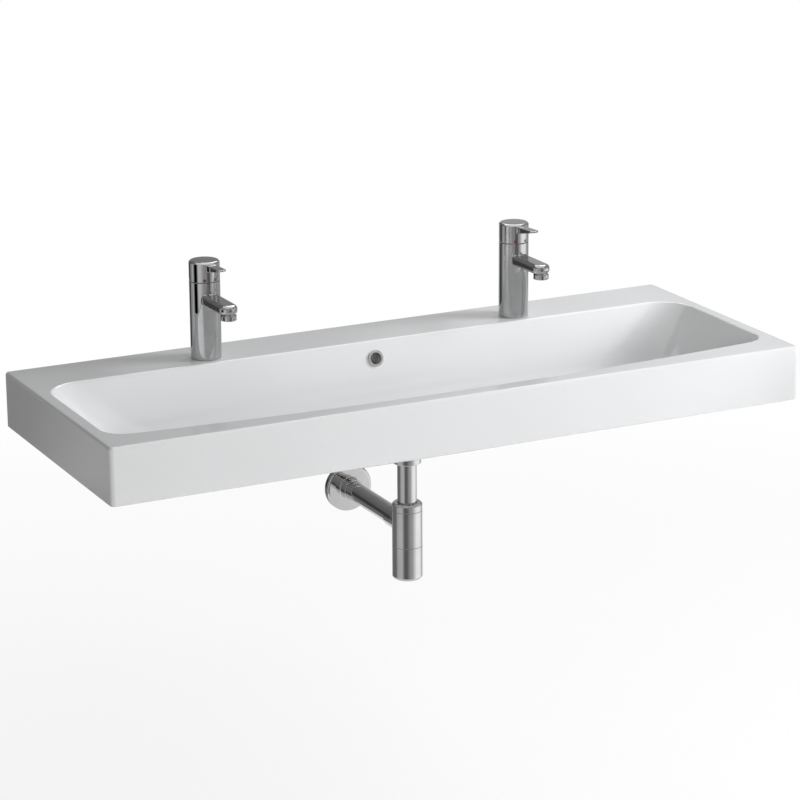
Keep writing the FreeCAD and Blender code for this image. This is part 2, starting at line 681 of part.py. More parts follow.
def build_bolt_nut():
    back = APRON_WALL + SLEEVE_FLANGE + WASHER_THICKNESS
    nut = hexagon(BOLT_NUT_FLATS, -back - BOLT_NUT_HEIGHT, -back)
    nut = nut.cut(upright(BOLT_RADIUS + THREAD_CLEARANCE, -back - BOLT_NUT_HEIGHT, -back))
    return lay_back(nut)


def pair(shape, spacing):
    half = spacing / 2
    return Part.makeCompound([moved(shape, -half, 0, 0), moved(shape, half, 0, 0)])


# Waste fitting

WASTE_SEAL_TOP = RECESS_FLOOR + WASTE_SEAL_THICKNESS
WASTE_FACE = WASTE_SEAL_TOP + WASTE_FLANGE_THICKNESS
WASTE_END = RIM - WASTE_TUBE_END_BELOW_RIM
BOTTOM_SEAL_END = BOSS_BOTTOM - BOTTOM_SEAL_THICKNESS
BACKNUT_END = BOTTOM_SEAL_END - BACKNUT_HEIGHT
SPIDER_TOP = WASTE_END + SPIDER_THICKNESS
LATCH_TOP = SPIDER_TOP + LATCH_HEIGHT
UNION_SEAL_END = WASTE_END - UNION_SEAL_THICKNESS
PIPE_TOP = UNION_SEAL_END
UNION_NUT_BOTTOM = PIPE_TOP - PIPE_FLANGE_THICKNESS - UNION_NUT_FLOOR


def at_drain(shape):
    return moved(shape, 0, -DRAIN_SETBACK, 0)


def build_waste_top_seal():
    inner = DRAIN_HOLE_RADIUS - THREAD_CLEARANCE
    return at_drain(tube(WASTE_FLANGE_RADIUS - WASTE_FLANGE_BEVEL, inner, RECESS_FLOOR, WASTE_SEAL_TOP))


def build_waste_body():
    bevel = WASTE_FLANGE_BEVEL
    body = turned([
        (WASTE_TUBE_BORE, WASTE_END),
        (WASTE_TUBE_RADIUS, WASTE_END),
        (WASTE_TUBE_RADIUS, WASTE_SEAL_TOP),
        (WASTE_FLANGE_RADIUS, WASTE_SEAL_TOP),
        (WASTE_FLANGE_RADIUS, WASTE_FACE - bevel),
        (WASTE_FLANGE_RADIUS - bevel, WASTE_FACE),
        (WASTE_TUBE_BORE + bevel, WASTE_FACE),
        (WASTE_TUBE_BORE, WASTE_FACE - bevel),
    ])
    half = OVERFLOW_PORT_WIDTH / 2
    for index in range(OVERFLOW_PORT_COUNT // 2):
        port = block(-DRAIN_GROOVE_RADIUS, DRAIN_GROOVE_RADIUS, -half, half, DUCT_BOTTOM, DUCT_TOP)
        port.rotate(ORIGIN, Z_AXIS, index * QUARTER_TURN)
        body = body.cut(port)
    half = SPIDER_ARM_WIDTH / 2
    reach = (WASTE_TUBE_BORE + WASTE_TUBE_RADIUS) / 2
    spider = upright(SPIDER_HUB_RADIUS, WASTE_END, SPIDER_TOP)
    for index in range(SPIDER_ARMS):
        arm = block(0, reach, -half, half, WASTE_END, SPIDER_TOP)
        arm.rotate(ORIGIN, Z_AXIS, QUARTER_TURN + index * FULL_TURN / SPIDER_ARMS)
        spider = spider.fuse(arm)
    return at_drain(body.fuse(spider).removeSplitter())


def build_waste_bottom_seal():
    inner = WASTE_TUBE_RADIUS + THREAD_CLEARANCE
    return at_drain(tube(BOTTOM_SEAL_RADIUS, inner, BOTTOM_SEAL_END, BOSS_BOTTOM))


def build_waste_backnut():
    nut = tube(BACKNUT_RADIUS, WASTE_TUBE_RADIUS + THREAD_CLEARANCE, BACKNUT_END, BOTTOM_SEAL_END)
    for index in range(BACKNUT_NOTCHES):
        angle = math.radians(index * FULL_TURN / BACKNUT_NOTCHES)
        x = BACKNUT_RADIUS * math.cos(angle)
        y = BACKNUT_RADIUS * math.sin(angle)
        nut = nut.cut(upright(BACKNUT_NOTCH_RADIUS, BACKNUT_END, BOTTOM_SEAL_END, x, y))
    return at_drain(nut)


def build_plug_latch():
    latch = upright(LATCH_RADIUS, SPIDER_TOP, LATCH_TOP)
    return at_drain(latch.cut(upright(LATCH_BORE, SPIDER_TOP + LATCH_FLOOR, LATCH_TOP)))


def build_waste_plug():
    low = WASTE_FACE + PLUG_LIFT_GAP
    high = low + PLUG_THICKNESS
    disc = upright(PLUG_RADIUS, low, high)
    rims = [edge for edge in disc.Edges if edge.BoundBox.ZMin > high - PLUG_EDGE_RADIUS / 2]
    disc = disc.makeFillet(PLUG_EDGE_RADIUS, rims)
    groove_top = WASTE_FACE + PLUG_SEAL_HEIGHT
    disc = disc.cut(tube(PLUG_SEAL_OUTER, PLUG_SEAL_INNER, low, groove_top))
    stem_end = SPIDER_TOP + LATCH_FLOOR + PLUG_STEM_END_GAP
    stem = upright(PLUG_STEM_RADIUS, stem_end, low)
    return at_drain(disc.fuse(stem))


def build_plug_seal():
    return at_drain(tube(PLUG_SEAL_OUTER, PLUG_SEAL_INNER, WASTE_FACE, WASTE_FACE + PLUG_SEAL_HEIGHT))


def build_union_seal():
    return at_drain(tube(PIPE_FLANGE_RADIUS, PIPE_RADIUS + PIPE_PASS_CLEARANCE, UNION_SEAL_END, WASTE_END))


def build_union_nut():
    top = UNION_NUT_BOTTOM + UNION_NUT_HEIGHT
    floor = UNION_NUT_BOTTOM + UNION_NUT_FLOOR
    bevel = UNION_NUT_BEVEL
    nut = turned([
        (PIPE_RADIUS + PIPE_PASS_CLEARANCE, UNION_NUT_BOTTOM),
        (UNION_NUT_RADIUS - bevel, UNION_NUT_BOTTOM),
        (UNION_NUT_RADIUS, UNION_NUT_BOTTOM + bevel),
        (UNION_NUT_RADIUS, top - bevel),
        (UNION_NUT_RADIUS - bevel, top),
        (WASTE_TUBE_RADIUS + THREAD_CLEARANCE, top),
        (WASTE_TUBE_RADIUS + THREAD_CLEARANCE, floor),
        (PIPE_RADIUS + PIPE_PASS_CLEARANCE, floor),
    ])
    return at_drain(nut)


# Bottle trap

TOP_NUT_TOP = RIM - TRAP_TOP_BELOW_RIM
TOP_NUT_END = TOP_NUT_TOP - TOP_NUT_HEIGHT
NECK_TOP = TOP_NUT_TOP - TOP_NUT_LID - TOP_SEAL_THICKNESS
BODY_TOP = TOP_NUT_END - SEAM_GAP
DIP_SHELF = BODY_TOP
DIP_TOP = DIP_SHELF + DIP_FLANGE_THICKNESS
BODY_END = ARM_HEIGHT - BODY_END_BELOW_ARM
CUP_TOP = BODY_END - SEAM_GAP
CUP_NECK_TOP = CUP_TOP + CUP_NECK_HEIGHT
TRAP_BOTTOM = RIM - TRAP_BOTTOM_BELOW_RIM
SPIGOT_FACE = TRAP_RADIUS + SPIGOT_BOSS_PROUD - DRAIN_SETBACK
SPIGOT_END = SPIGOT_FACE + SPIGOT_LENGTH
OUTLET_NUT_START = SPIGOT_FACE + SEAM_GAP
OUTLET_NUT_END = OUTLET_NUT_START + OUTLET_NUT_LENGTH
ARM_START = SPIGOT_END + OUTLET_SEAL_THICKNESS


def build_tailpipe():
    end = BODY_TOP - TAILPIPE_IN_TRAP
    pipe = turned([
        (PIPE_BORE, end),
        (PIPE_RADIUS, end),
        (PIPE_RADIUS, PIPE_TOP - PIPE_FLANGE_THICKNESS),
        (PIPE_FLANGE_RADIUS, PIPE_TOP - PIPE_FLANGE_THICKNESS),
        (PIPE_FLANGE_RADIUS, PIPE_TOP),
        (PIPE_BORE, PIPE_TOP),
    ])
    return at_drain(pipe)


def build_trap_top_nut():
    lid = TOP_NUT_TOP - TOP_NUT_LID
    nut = turned([
        (PIPE_RADIUS + PIPE_PASS_CLEARANCE, lid),
        (PIPE_RADIUS + PIPE_PASS_CLEARANCE, TOP_NUT_TOP),
        (TRAP_RADIUS - TOP_NUT_BEVEL, TOP_NUT_TOP),
        (TRAP_RADIUS, TOP_NUT_TOP - TOP_NUT_BEVEL),
        (TRAP_RADIUS, TOP_NUT_END),
        (NECK_RADIUS + THREAD_CLEARANCE, TOP_NUT_END),
        (NECK_RADIUS + THREAD_CLEARANCE, lid),
    ])
    return at_drain(nut)


def build_trap_top_seal():
    lid = TOP_NUT_TOP - TOP_NUT_LID
    return at_drain(tube(NECK_RADIUS, PIPE_RADIUS + THREAD_CLEARANCE, NECK_TOP, lid))


def build_trap_body():
    ledge = CUP_NECK_TOP + CUP_SEAL_THICKNESS
    shelf_bore = DIP_TUBE_RADIUS + DIP_TUBE_CLEARANCE
    shelf_end = DIP_SHELF - DIP_SHELF_THICKNESS
    body = turned([
        (NECK_BORE, DIP_SHELF),
        (NECK_BORE, NECK_TOP),
        (NECK_RADIUS, NECK_TOP),
        (NECK_RADIUS, BODY_TOP),
        (TRAP_RADIUS, BODY_TOP),
        (TRAP_RADIUS, BODY_END),
        (TRAP_BORE, BODY_END),
        (TRAP_BORE, ledge),
        (CUP_NECK_BORE, ledge),
        (CUP_NECK_BORE, shelf_end),
        (shelf_bore, shelf_end),
        (shelf_bore, DIP_SHELF),
    ])
    body = at_drain(body)
    spigot = level(SPIGOT_BOSS_RADIUS, -DRAIN_SETBACK, SPIGOT_FACE, 0, ARM_HEIGHT)
    spigot = spigot.fuse(level(PIPE_RADIUS, -DRAIN_SETBACK, SPIGOT_END, 0, ARM_HEIGHT))
    core = upright(CUP_NECK_BORE, BODY_END, shelf_end, 0, -DRAIN_SETBACK)
    body = body.fuse(spigot.cut(core))
    return body.cut(level(SPIGOT_BORE, -DRAIN_SETBACK, SPIGOT_END, 0, ARM_HEIGHT)).removeSplitter()


def build_dip_tube():
    end = DIP_SHELF - DIP_TUBE_LENGTH
    pipe = turned([
        (DIP_TUBE_BORE, end),
        (DIP_TUBE_RADIUS, end),
        (DIP_TUBE_RADIUS, DIP_SHELF),
        (DIP_FLANGE_RADIUS, DIP_SHELF),
        (DIP_FLANGE_RADIUS, DIP_TOP),
        (DIP_TUBE_BORE, DIP_TOP),
    ])
    return at_drain(pipe)


def build_trap_cup():
    cup = turned([
        (0, TRAP_BOTTOM),
        (TRAP_RADIUS, TRAP_BOTTOM),
        (TRAP_RADIUS, CUP_TOP),
        (CUP_NECK_RADIUS, CUP_TOP),
        (CUP_NECK_RADIUS, CUP_NECK_TOP),
        (CUP_NECK_BORE, CUP_NECK_TOP),
        (CUP_NECK_BORE, CUP_TOP),
        (CUP_BORE, CUP_TOP - CUP_FLOOR),
        (CUP_BORE, TRAP_BOTTOM + CUP_FLOOR),
        (0, TRAP_BOTTOM + CUP_FLOOR),
    ])
    foot = []
    for edge in cup.Edges:
        box = edge.BoundBox
        if box.ZMax < TRAP_BOTTOM + SEAM_GAP and box.XMax > CUP_BORE:
            foot.append(edge)
    return at_drain(cup.makeFillet(CUP_EDGE_RADIUS, foot))


def build_cup_seal():
    top = CUP_NECK_TOP + CUP_SEAL_THICKNESS
    return at_drain(tube(CUP_NECK_RADIUS, CUP_NECK_BORE, CUP_NECK_TOP, top))


def build_outlet_nut():
    start = OUTLET_NUT_START
    end = OUTLET_NUT_END
    bevel = OUTLET_NUT_BEVEL
    bore = PIPE_RADIUS + THREAD_CLEARANCE
    nut = turned([
        (bore, start),
        (OUTLET_NUT_RADIUS, start),
        (OUTLET_NUT_RADIUS, end - bevel),
        (OUTLET_NUT_RADIUS - bevel, end),
        (bore, end),
    ])
    return moved(lay_back(nut), 0, 0, ARM_HEIGHT)


def build_outlet_seal():
    return level_tube(PIPE_RADIUS, SPIGOT_BORE, SPIGOT_END, ARM_START, 0, ARM_HEIGHT)


def build_wall_pipe():
    """Chromed tube with a shallow ring groove that marks its depth in the wall."""
    mark_end = PIPE_MARK_IN_WALL + PIPE_MARK_WIDTH
    pipe = level_tube(PIPE_RADIUS, PIPE_BORE, ARM_START, PIPE_INTO_WALL, 0, ARM_HEIGHT)
    floor = PIPE_RADIUS - PIPE_MARK_DEPTH
    return pipe.cut(level_tube(TRAP_RADIUS, floor, PIPE_MARK_IN_WALL, mark_end, 0, ARM_HEIGHT))


def build_rosette():
    """Cover dish on the wall with a short collar around the pipe."""
    bore = PIPE_RADIUS + ROSETTE_RUNNING_FIT
    face = -ROSETTE_DEPTH
    inner_face = face + ROSETTE_WALL
    dish = turned([
        (bore, face),
        (ROSETTE_RADIUS, face),
        (ROSETTE_RADIUS, -ROSETTE_WALL / 2),
        (ROSETTE_RADIUS - ROSETTE_WALL, -ROSETTE_WALL / 2),
        (ROSETTE_RADIUS - ROSETTE_WALL, inner_face),
        (bore, inner_face),
    ])
    edges = []
    for edge in dish.Edges:
        box = edge.BoundBox
        if box.ZMax < face + ROSETTE_WALL / 2 and box.XMax > ROSETTE_RADIUS - ROSETTE_WALL:
            edges.append(edge)
    dish = dish.makeFillet(ROSETTE_EDGE_RADIUS, edges)
    dish = dish.fuse(tube(ROSETTE_COLLAR_RADIUS, bore, -ROSETTE_COLLAR_END, inner_face))
    return moved(lay_back(dish.removeSplitter()), 0, 0, ARM_HEIGHT)


# Tap, built with its axis on Z and the rim at height zero

BODY_TOP_HEIGHT = PIVOT_HEIGHT - BODY_TOP_BELOW_PIVOT
CAP_BOTTOM = PIVOT_HEIGHT + CAP_BOTTOM_ABOVE_PIVOT


def spout_solid():
    """Flat arm with a round nose, slightly thinner at the tip."""
    half = SPOUT_WIDTH / 2
    nose = SPOUT_REACH - half
    side = [
        point(0, 0, SPOUT_ROOT_BOTTOM),
        point(0, -SPOUT_REACH, SPOUT_TIP_BOTTOM),
        point(0, -SPOUT_REACH, SPOUT_TIP_TOP),
        point(0, 0, SPOUT_ROOT_TOP),
    ]
    side.append(side[0])
    wedge = Part.Face(Part.makePolygon(side)).extrude(point(SPOUT_WIDTH, 0, 0))
    wedge.translate(point(-half, 0, 0))
    plan = block(-half, half, -nose, 0, SPOUT_ROOT_BOTTOM, SPOUT_TIP_TOP)
    plan = plan.fuse(upright(half, SPOUT_ROOT_BOTTOM, SPOUT_TIP_TOP, 0, -nose)).removeSplitter()
    arm = wedge.common(plan).removeSplitter()
    long_edges = []
    for edge in arm.Edges:
        box = edge.BoundBox
        lengthwise = box.YMax - box.YMin > SPOUT_EDGE_RADIUS
        if lengthwise:
            long_edges.append(edge)
    return arm.makeFillet(SPOUT_EDGE_RADIUS, long_edges)


def build_tap_body():
    body = upright(TAP_RADIUS, BODY_ABOVE_DECK, BODY_TOP_HEIGHT)
    body = body.makeChamfer(BODY_EDGE_BEVEL, [edge for edge in body.Edges if edge.Closed])
    body = body.fuse(spout_solid())
    body = body.cut(upright(BODY_HOLLOW_RADIUS, BODY_ABOVE_DECK, BODY_HOLLOW_TOP))
    columns = [(-INLET_OFFSET_X, INLET_OFFSET_Y), (INLET_OFFSET_X, INLET_OFFSET_Y), (0, -STUD_OFFSET_Y)]
    inside = upright(BODY_HOLLOW_RADIUS + BODY_EDGE_BEVEL, COLUMN_BOTTOM, BODY_HOLLOW_TOP)
    for x, y in columns:
        body = body.fuse(upright(COLUMN_RADIUS, COLUMN_BOTTOM, BODY_HOLLOW_TOP, x, y).common(inside))
    thread_top = COLUMN_BOTTOM + INLET_THREAD_LENGTH
    for side in (-1, 1):
        x = side * INLET_OFFSET_X
        body = body.cut(upright(INLET_THREAD_RADIUS, COLUMN_BOTTOM, thread_top, x, INLET_OFFSET_Y))
        body = body.cut(upright(WATERWAY_RADIUS, thread_top, CARTRIDGE_SEAT, x, INLET_OFFSET_Y))
    stud_hole = STUD_RADIUS + THREAD_CLEARANCE
    body = body.cut(upright(stud_hole, COLUMN_BOTTOM, STUD_TOP, 0, -STUD_OFFSET_Y))
    outer = BASE_SEAL_OUTER + BASE_SEAL_CLEARANCE
    inner = BASE_SEAL_INNER - BASE_SEAL_CLEARANCE
    body = body.cut(tube(outer, inner, BODY_ABOVE_DECK, BASE_SEAL_HEIGHT))
    pocket = HOUSING_RADIUS + HOUSING_CLEARANCE
    body = body.cut(upright(pocket, CARTRIDGE_SEAT, BODY_TOP_HEIGHT))
    body = body.cut(upright(NUT_POCKET_RADIUS, NUT_POCKET_FLOOR, BODY_TOP_HEIGHT))
    body = body.cut(upright(OUTLET_RADIUS, SPOUT_AXIS_HEIGHT, CARTRIDGE_SEAT, 0, -OUTLET_OFFSET_Y))
    body = body.cut(level(SPOUT_WAY_RADIUS, -AERATOR_REACH, -OUTLET_OFFSET_Y, 0, SPOUT_AXIS_HEIGHT))
    neck = AERATOR_NECK_RADIUS + THREAD_CLEARANCE
    socket = upright(neck, SPOUT_ROOT_BOTTOM, AERATOR_NECK_TOP + AERATOR_SEAT_GAP, 0, -AERATOR_REACH)
    return body.cut(socket).removeSplitter()


def build_base_seal():
    return tube(BASE_SEAL_OUTER, BASE_SEAL_INNER, 0, BASE_SEAL_HEIGHT)


def build_aerator_shell():
    shoulder = SPOUT_TIP_BOTTOM - AERATOR_SEAT_GAP - AERATOR_BEVEL
    shell = turned([
        (AERATOR_LIP_RADIUS, AERATOR_BOTTOM),
        (AERATOR_RADIUS - AERATOR_BEVEL, AERATOR_BOTTOM),
        (AERATOR_RADIUS, AERATOR_BOTTOM + AERATOR_BEVEL),
        (AERATOR_RADIUS, shoulder),
        (AERATOR_NECK_RADIUS, shoulder),
        (AERATOR_NECK_RADIUS, AERATOR_NECK_TOP),
        (AERATOR_BORE, AERATOR_NECK_TOP),
        (AERATOR_BORE, AERATOR_BOTTOM + AERATOR_LIP),
        (AERATOR_LIP_RADIUS, AERATOR_BOTTOM + AERATOR_LIP),
    ])
    return moved(shell, 0, -AERATOR_REACH, 0)


def build_aerator_insert():
    low = AERATOR_BOTTOM + AERATOR_LIP
    insert = upright(AERATOR_BORE - THREAD_CLEARANCE, low, INSERT_TOP)
    limit = AERATOR_LIP_RADIUS - INSERT_HOLE_RADIUS
    count = int(limit // INSERT_HOLE_PITCH)
    for row in range(-count, count + 1):
        for column in range(-count, count + 1):
            x = column * INSERT_HOLE_PITCH
            y = row * INSERT_HOLE_PITCH
            if math.hypot(x, y) < limit:
                insert = insert.cut(upright(INSERT_HOLE_RADIUS, low, INSERT_TOP, x, y))
    return moved(insert, 0, -AERATOR_REACH, 0)


# Clamp under the deck, in the tap's own frame

DECK_BELOW_RIM = RIM - DECK_UNDERSIDE
CLAMP_SEAL_LOW = -DECK_BELOW_RIM - CLAMP_SEAL_THICKNESS
CLAMP_PLATE_LOW = CLAMP_SEAL_LOW - CLAMP_PLATE_THICKNESS


def build_stud():
    low = -DECK_BELOW_RIM - STUD_BELOW_DECK
    stud = upright(STUD_RADIUS, low, STUD_TOP, 0, -STUD_OFFSET_Y)
    return stud.makeChamfer(STUD_BEVEL, [edge for edge in stud.Edges if edge.Closed])


def horseshoe(z_low, z_high):
    """Disc with a window for the supply hoses, open to the back."""
    plate = upright(CLAMP_RADIUS, z_low, z_high)
    window = upright(CLAMP_WINDOW_RADIUS, z_low, z_high, 0, CLAMP_WINDOW_OFFSET)
    half = CLAMP_WINDOW_RADIUS
    mouth = block(-half, half, CLAMP_WINDOW_OFFSET, CLAMP_RADIUS + half, z_low, z_high)
    hole = upright(STUD_RADIUS + STUD_PASS_CLEARANCE, z_low, z_high, 0, -STUD_OFFSET_Y)
    return plate.cut(window.fuse(mouth)).cut(hole)


def build_clamp_seal():
    return horseshoe(CLAMP_SEAL_LOW, -DECK_BELOW_RIM)


def build_clamp_plate():
    return horseshoe(CLAMP_PLATE_LOW, CLAMP_SEAL_LOW)


def build_clamp_nut():
    low = CLAMP_PLATE_LOW - CLAMP_NUT_HEIGHT
    nut = hexagon(CLAMP_NUT_FLATS, low, CLAMP_PLATE_LOW, 0, -STUD_OFFSET_Y)
    return nut.cut(upright(STUD_RADIUS + THREAD_CLEARANCE, low, CLAMP_PLATE_LOW, 0, -STUD_OFFSET_Y))


# Cartridge

FIXED_DISC_LOW = CARTRIDGE_SEAT + HOUSING_FLOOR
FIXED_DISC_TOP = FIXED_DISC_LOW + FIXED_DISC_THICKNESS
MOVING_DISC_LOW = FIXED_DISC_TOP + MOVING_DISC_LIFT
MOVING_DISC_TOP = MOVING_DISC_LOW + MOVING_DISC_THICKNESS
ROTOR_LOW = MOVING_DISC_TOP + ROTOR_END_GAP
ROTOR_SHOULDER = HOUSING_TOP - HOUSING_LID - ROTOR_END_GAP
ROTOR_TOP = PIVOT_HEIGHT + ROTOR_TOP_ABOVE_PIVOT


def water_holes(z_low, z_high):
    """The two inlet holes and the outlet hole of the cartridge."""
    inlet = upright(WATERWAY_RADIUS, z_low, z_high, -INLET_OFFSET_X, INLET_OFFSET_Y)
    second = upright(WATERWAY_RADIUS, z_low, z_high, INLET_OFFSET_X, INLET_OFFSET_Y)
    return inlet.fuse(second).fuse(upright(OUTLET_RADIUS, z_low, z_high, 0, -OUTLET_OFFSET_Y))


def build_cartridge_housing():
    lid = HOUSING_TOP - HOUSING_LID
    housing = turned([
        (0, CARTRIDGE_SEAT),
        (HOUSING_RADIUS, CARTRIDGE_SEAT),
        (HOUSING_RADIUS, HOUSING_TOP),
        (ROTOR_NECK_RADIUS + ROTOR_FIT, HOUSING_TOP),
        (ROTOR_NECK_RADIUS + ROTOR_FIT, lid),
        (HOUSING_BORE, lid),
        (HOUSING_BORE, FIXED_DISC_LOW),
        (0, FIXED_DISC_LOW),
    ])
    return housing.cut(water_holes(CARTRIDGE_SEAT, FIXED_DISC_LOW))


def build_fixed_disc():
    disc = upright(FIXED_DISC_RADIUS, FIXED_DISC_LOW, FIXED_DISC_TOP)
    return disc.cut(water_holes(FIXED_DISC_LOW, FIXED_DISC_TOP))


def build_moving_disc():
    """Slides over the fixed disc; the stem's ball sits in its top pocket."""
    disc = upright(MOVING_DISC_RADIUS, MOVING_DISC_LOW, MOVING_DISC_TOP)
    pocket_low = MOVING_DISC_TOP - MOVING_POCKET_DEPTH
    pocket = upright(STEM_BALL_RADIUS + POCKET_CLEARANCE, pocket_low, MOVING_DISC_TOP)
    half_x = MIXING_SLOT_WIDTH / 2
    half_y = MIXING_SLOT_LENGTH / 2
    slot = block(-half_x, half_x, -half_y, half_y, MOVING_DISC_LOW, MOVING_DISC_LOW + MIXING_SLOT_DEPTH)
    return disc.cut(pocket).cut(slot)


def build_rotor():
    rotor = turned([
        (0, ROTOR_LOW),
        (ROTOR_FLANGE_RADIUS, ROTOR_LOW),
        (ROTOR_FLANGE_RADIUS, ROTOR_SHOULDER),
        (ROTOR_NECK_RADIUS, ROTOR_SHOULDER),
        (ROTOR_NECK_RADIUS, ROTOR_TOP),
        (0, ROTOR_TOP),
    ])
    half = STEM_WIDTH / 2 + STEM_SIDE_CLEARANCE
    reach = ROTOR_SLOT_HALF_LENGTH
    rotor = rotor.cut(block(-half, half, -reach, reach, ROTOR_LOW, ROTOR_TOP))
    return rotor.cut(pin_solid(PIN_RADIUS + PIN_GRIP_CLEARANCE, TAP_RADIUS))


def pin_solid(radius, half_length):
    return Part.makeCylinder(radius, half_length * 2, point(-half_length, 0, PIVOT_HEIGHT), X_AXIS)


def build_pivot_pin():
    return pin_solid(PIN_RADIUS, PIN_HALF_LENGTH)


def build_stem():
    """Flat bar that rocks on the pin, with a ball end that moves the disc."""
    low = PIVOT_HEIGHT - STEM_BOTTOM_BELOW_PIVOT
    ball = PIVOT_HEIGHT - STEM_BALL_BELOW_PIVOT
    half_x = STEM_WIDTH / 2
    half_y = STEM_DEPTH / 2
    stem = block(-half_x, half_x, -half_y, half_y, low, STEM_TOP)
    stem = stem.fuse(upright(STEM_NECK_RADIUS, ball, low))
    stem = stem.fuse(Part.makeSphere(STEM_BALL_RADIUS, point(0, 0, ball)))
    return stem.cut(pin_solid(PIN_RADIUS + PIN_RUNNING_CLEARANCE, STEM_WIDTH))


def build_dome_nut():
    """Screwed ring that clamps the cartridge, with a ball-shaped cover."""
    top = PIVOT_HEIGHT + DOME_TOP_ABOVE_PIVOT
    lid = top - DOME_LID
    skirt = turned([
        (DOME_SKIRT_BORE, DOME_SKIRT_BOTTOM),
        (DOME_SKIRT_RADIUS, DOME_SKIRT_BOTTOM),
        (DOME_SKIRT_RADIUS, BODY_TOP_HEIGHT),
        (DOME_INNER_RADIUS, BODY_TOP_HEIGHT),
        (DOME_INNER_RADIUS, HOUSING_TOP),
        (DOME_SKIRT_BORE, HOUSING_TOP),
    ])
    ball = Part.makeSphere(DOME_RADIUS, point(0, 0, PIVOT_HEIGHT))
    ball = ball.common(upright(TAP_RADIUS, BODY_TOP_HEIGHT, top))
    nut = skirt.fuse(ball)
    nut = nut.cut(upright(DOME_INNER_RADIUS, HOUSING_TOP, lid))
    return nut.cut(upright(DOME_OPENING_RADIUS, lid, top)).removeSplitter()


# Lever cap

def lever_solid():
    half = LEVER_WIDTH / 2
    nose = LEVER_REACH - half
    side = [
        point(0, -LEVER_ROOT, LEVER_ROOT_BOTTOM),
        point(0, -LEVER_REACH, LEVER_TIP_BOTTOM),
        point(0, -LEVER_REACH, LEVER_TIP_TOP),
        point(0, -LEVER_ROOT, LEVER_ROOT_TOP),
    ]
    side.append(side[0])
    wedge = Part.Face(Part.makePolygon(side)).extrude(point(LEVER_WIDTH, 0, 0))
    wedge.translate(point(-half, 0, 0))
    plan = block(-half, half, -nose, -LEVER_ROOT, LEVER_ROOT_BOTTOM, LEVER_TIP_TOP)
    tip = upright(half, LEVER_ROOT_BOTTOM, LEVER_TIP_TOP, 0, -nose)
    lever = wedge.common(plan.fuse(tip).removeSplitter()).removeSplitter()
    long_edges = []
    for edge in lever.Edges:
        box = edge.BoundBox
        if box.YMax - box.YMin > LEVER_EDGE_RADIUS:
            long_edges.append(edge)
    return lever.makeFillet(LEVER_EDGE_RADIUS, long_edges)


def mark_plug(radius, depth, proud, side):
    """Cylinder square to the cap's side at the angle of the coloured marks."""
    start = TAP_RADIUS - depth
    plug = Part.makeCylinder(radius, depth + proud, point(0, -start, 0), -Y_AXIS)
    plug.rotate(ORIGIN, Z_AXIS, side * MARK_ANGLE)
    plug.translate(point(0, 0, PIVOT_HEIGHT + MARK_ABOVE_PIVOT))
    return plug


def build_lever_cap():
    cap = turned([
        (0, CAP_BOTTOM),
        (TAP_RADIUS - CAP_BOTTOM_BEVEL, CAP_BOTTOM),
        (TAP_RADIUS, CAP_BOTTOM + CAP_BOTTOM_BEVEL),
        (TAP_RADIUS, CAP_SIDE_TOP),
        (CAP_TOP_RADIUS, CAP_TOP_EDGE),
        (0, TAP_HEIGHT),
    ])
    cap = cap.fuse(lever_solid())
    hollow = Part.makeSphere(CAP_HOLLOW_RADIUS, point(0, 0, PIVOT_HEIGHT))
    cap = cap.cut(hollow.common(upright(TAP_RADIUS, 0, CAP_HOLLOW_TOP)))
    half_x = STEM_WIDTH / 2 + SOCKET_CLEARANCE
    half_y = STEM_DEPTH / 2 + SOCKET_CLEARANCE
    cap = cap.cut(block(-half_x, half_x, -half_y, half_y, PIVOT_HEIGHT, SOCKET_TOP))
    reach = TAP_RADIUS * 2
    relief = block(-reach, reach, 0, reach, -reach, 0)
    relief.rotate(ORIGIN, X_AXIS, LIFT_ANGLE + RELIEF_EXTRA_ANGLE)
    relief.translate(point(0, RELIEF_START, CAP_BOTTOM))
    cap = cap.cut(relief)
    grub_hole = GRUB_RADIUS + THREAD_CLEARANCE
    cap = cap.cut(level(grub_hole, 0, reach, 0, GRUB_HEIGHT))
    for side in (-1, 1):
        cap = cap.cut(mark_plug(MARK_RADIUS + THREAD_CLEARANCE, MARK_DEPTH, MARK_PROUD, side))
    return cap.removeSplitter()


def build_grub_screw():
    start = STEM_DEPTH / 2
    end = start + GRUB_LENGTH
    screw = level(GRUB_RADIUS, start, end, 0, GRUB_HEIGHT)
    socket = lay_back(hexagon(GRUB_SOCKET_FLATS, end - GRUB_SOCKET_DEPTH, end))
    return screw.cut(moved(socket, 0, 0, GRUB_HEIGHT))


def build_mark(side):
    plug = mark_plug(MARK_RADIUS, MARK_DEPTH, MARK_PROUD, side)
    keep = upright(TAP_RADIUS + MARK_PROUD, 0, TAP_HEIGHT)
    return plug.common(keep)


TAP_PARTS = {
    "tap_body": build_tap_body,
    "aerator_shell": build_aerator_shell,
    "aerator_insert": build_aerator_insert,
    "cartridge_housing": build_cartridge_housing,
    "fixed_disc": build_fixed_disc,
    "moving_disc": build_moving_disc,
    "rotor": build_rotor,
    "pivot_pin": build_pivot_pin,
    "stem": build_stem,
    "dome_nut": build_dome_nut,
    "lever_cap": build_lever_cap,
    "grub_screw": build_grub_screw,
    "hot_mark": lambda: build_mark(-1),
    "cold_mark": lambda: build_mark(1),
}

TAP_PAIRS = {
    "tap_base_seals": build_base_seal,
    "tap_studs": build_stud,
    "clamp_seals": build_clamp_seal,
    "clamp_plates": build_clamp_plate,
    "clamp_nuts": build_clamp_nut,
}

WALL_PAIRS = {
    "hanger_bolts": build_hanger_bolt,
    "fixing_sleeves": build_sleeve,
    "fixing_washers": build_bolt_washer,
    "fixing_nuts": build_bolt_nut,
}

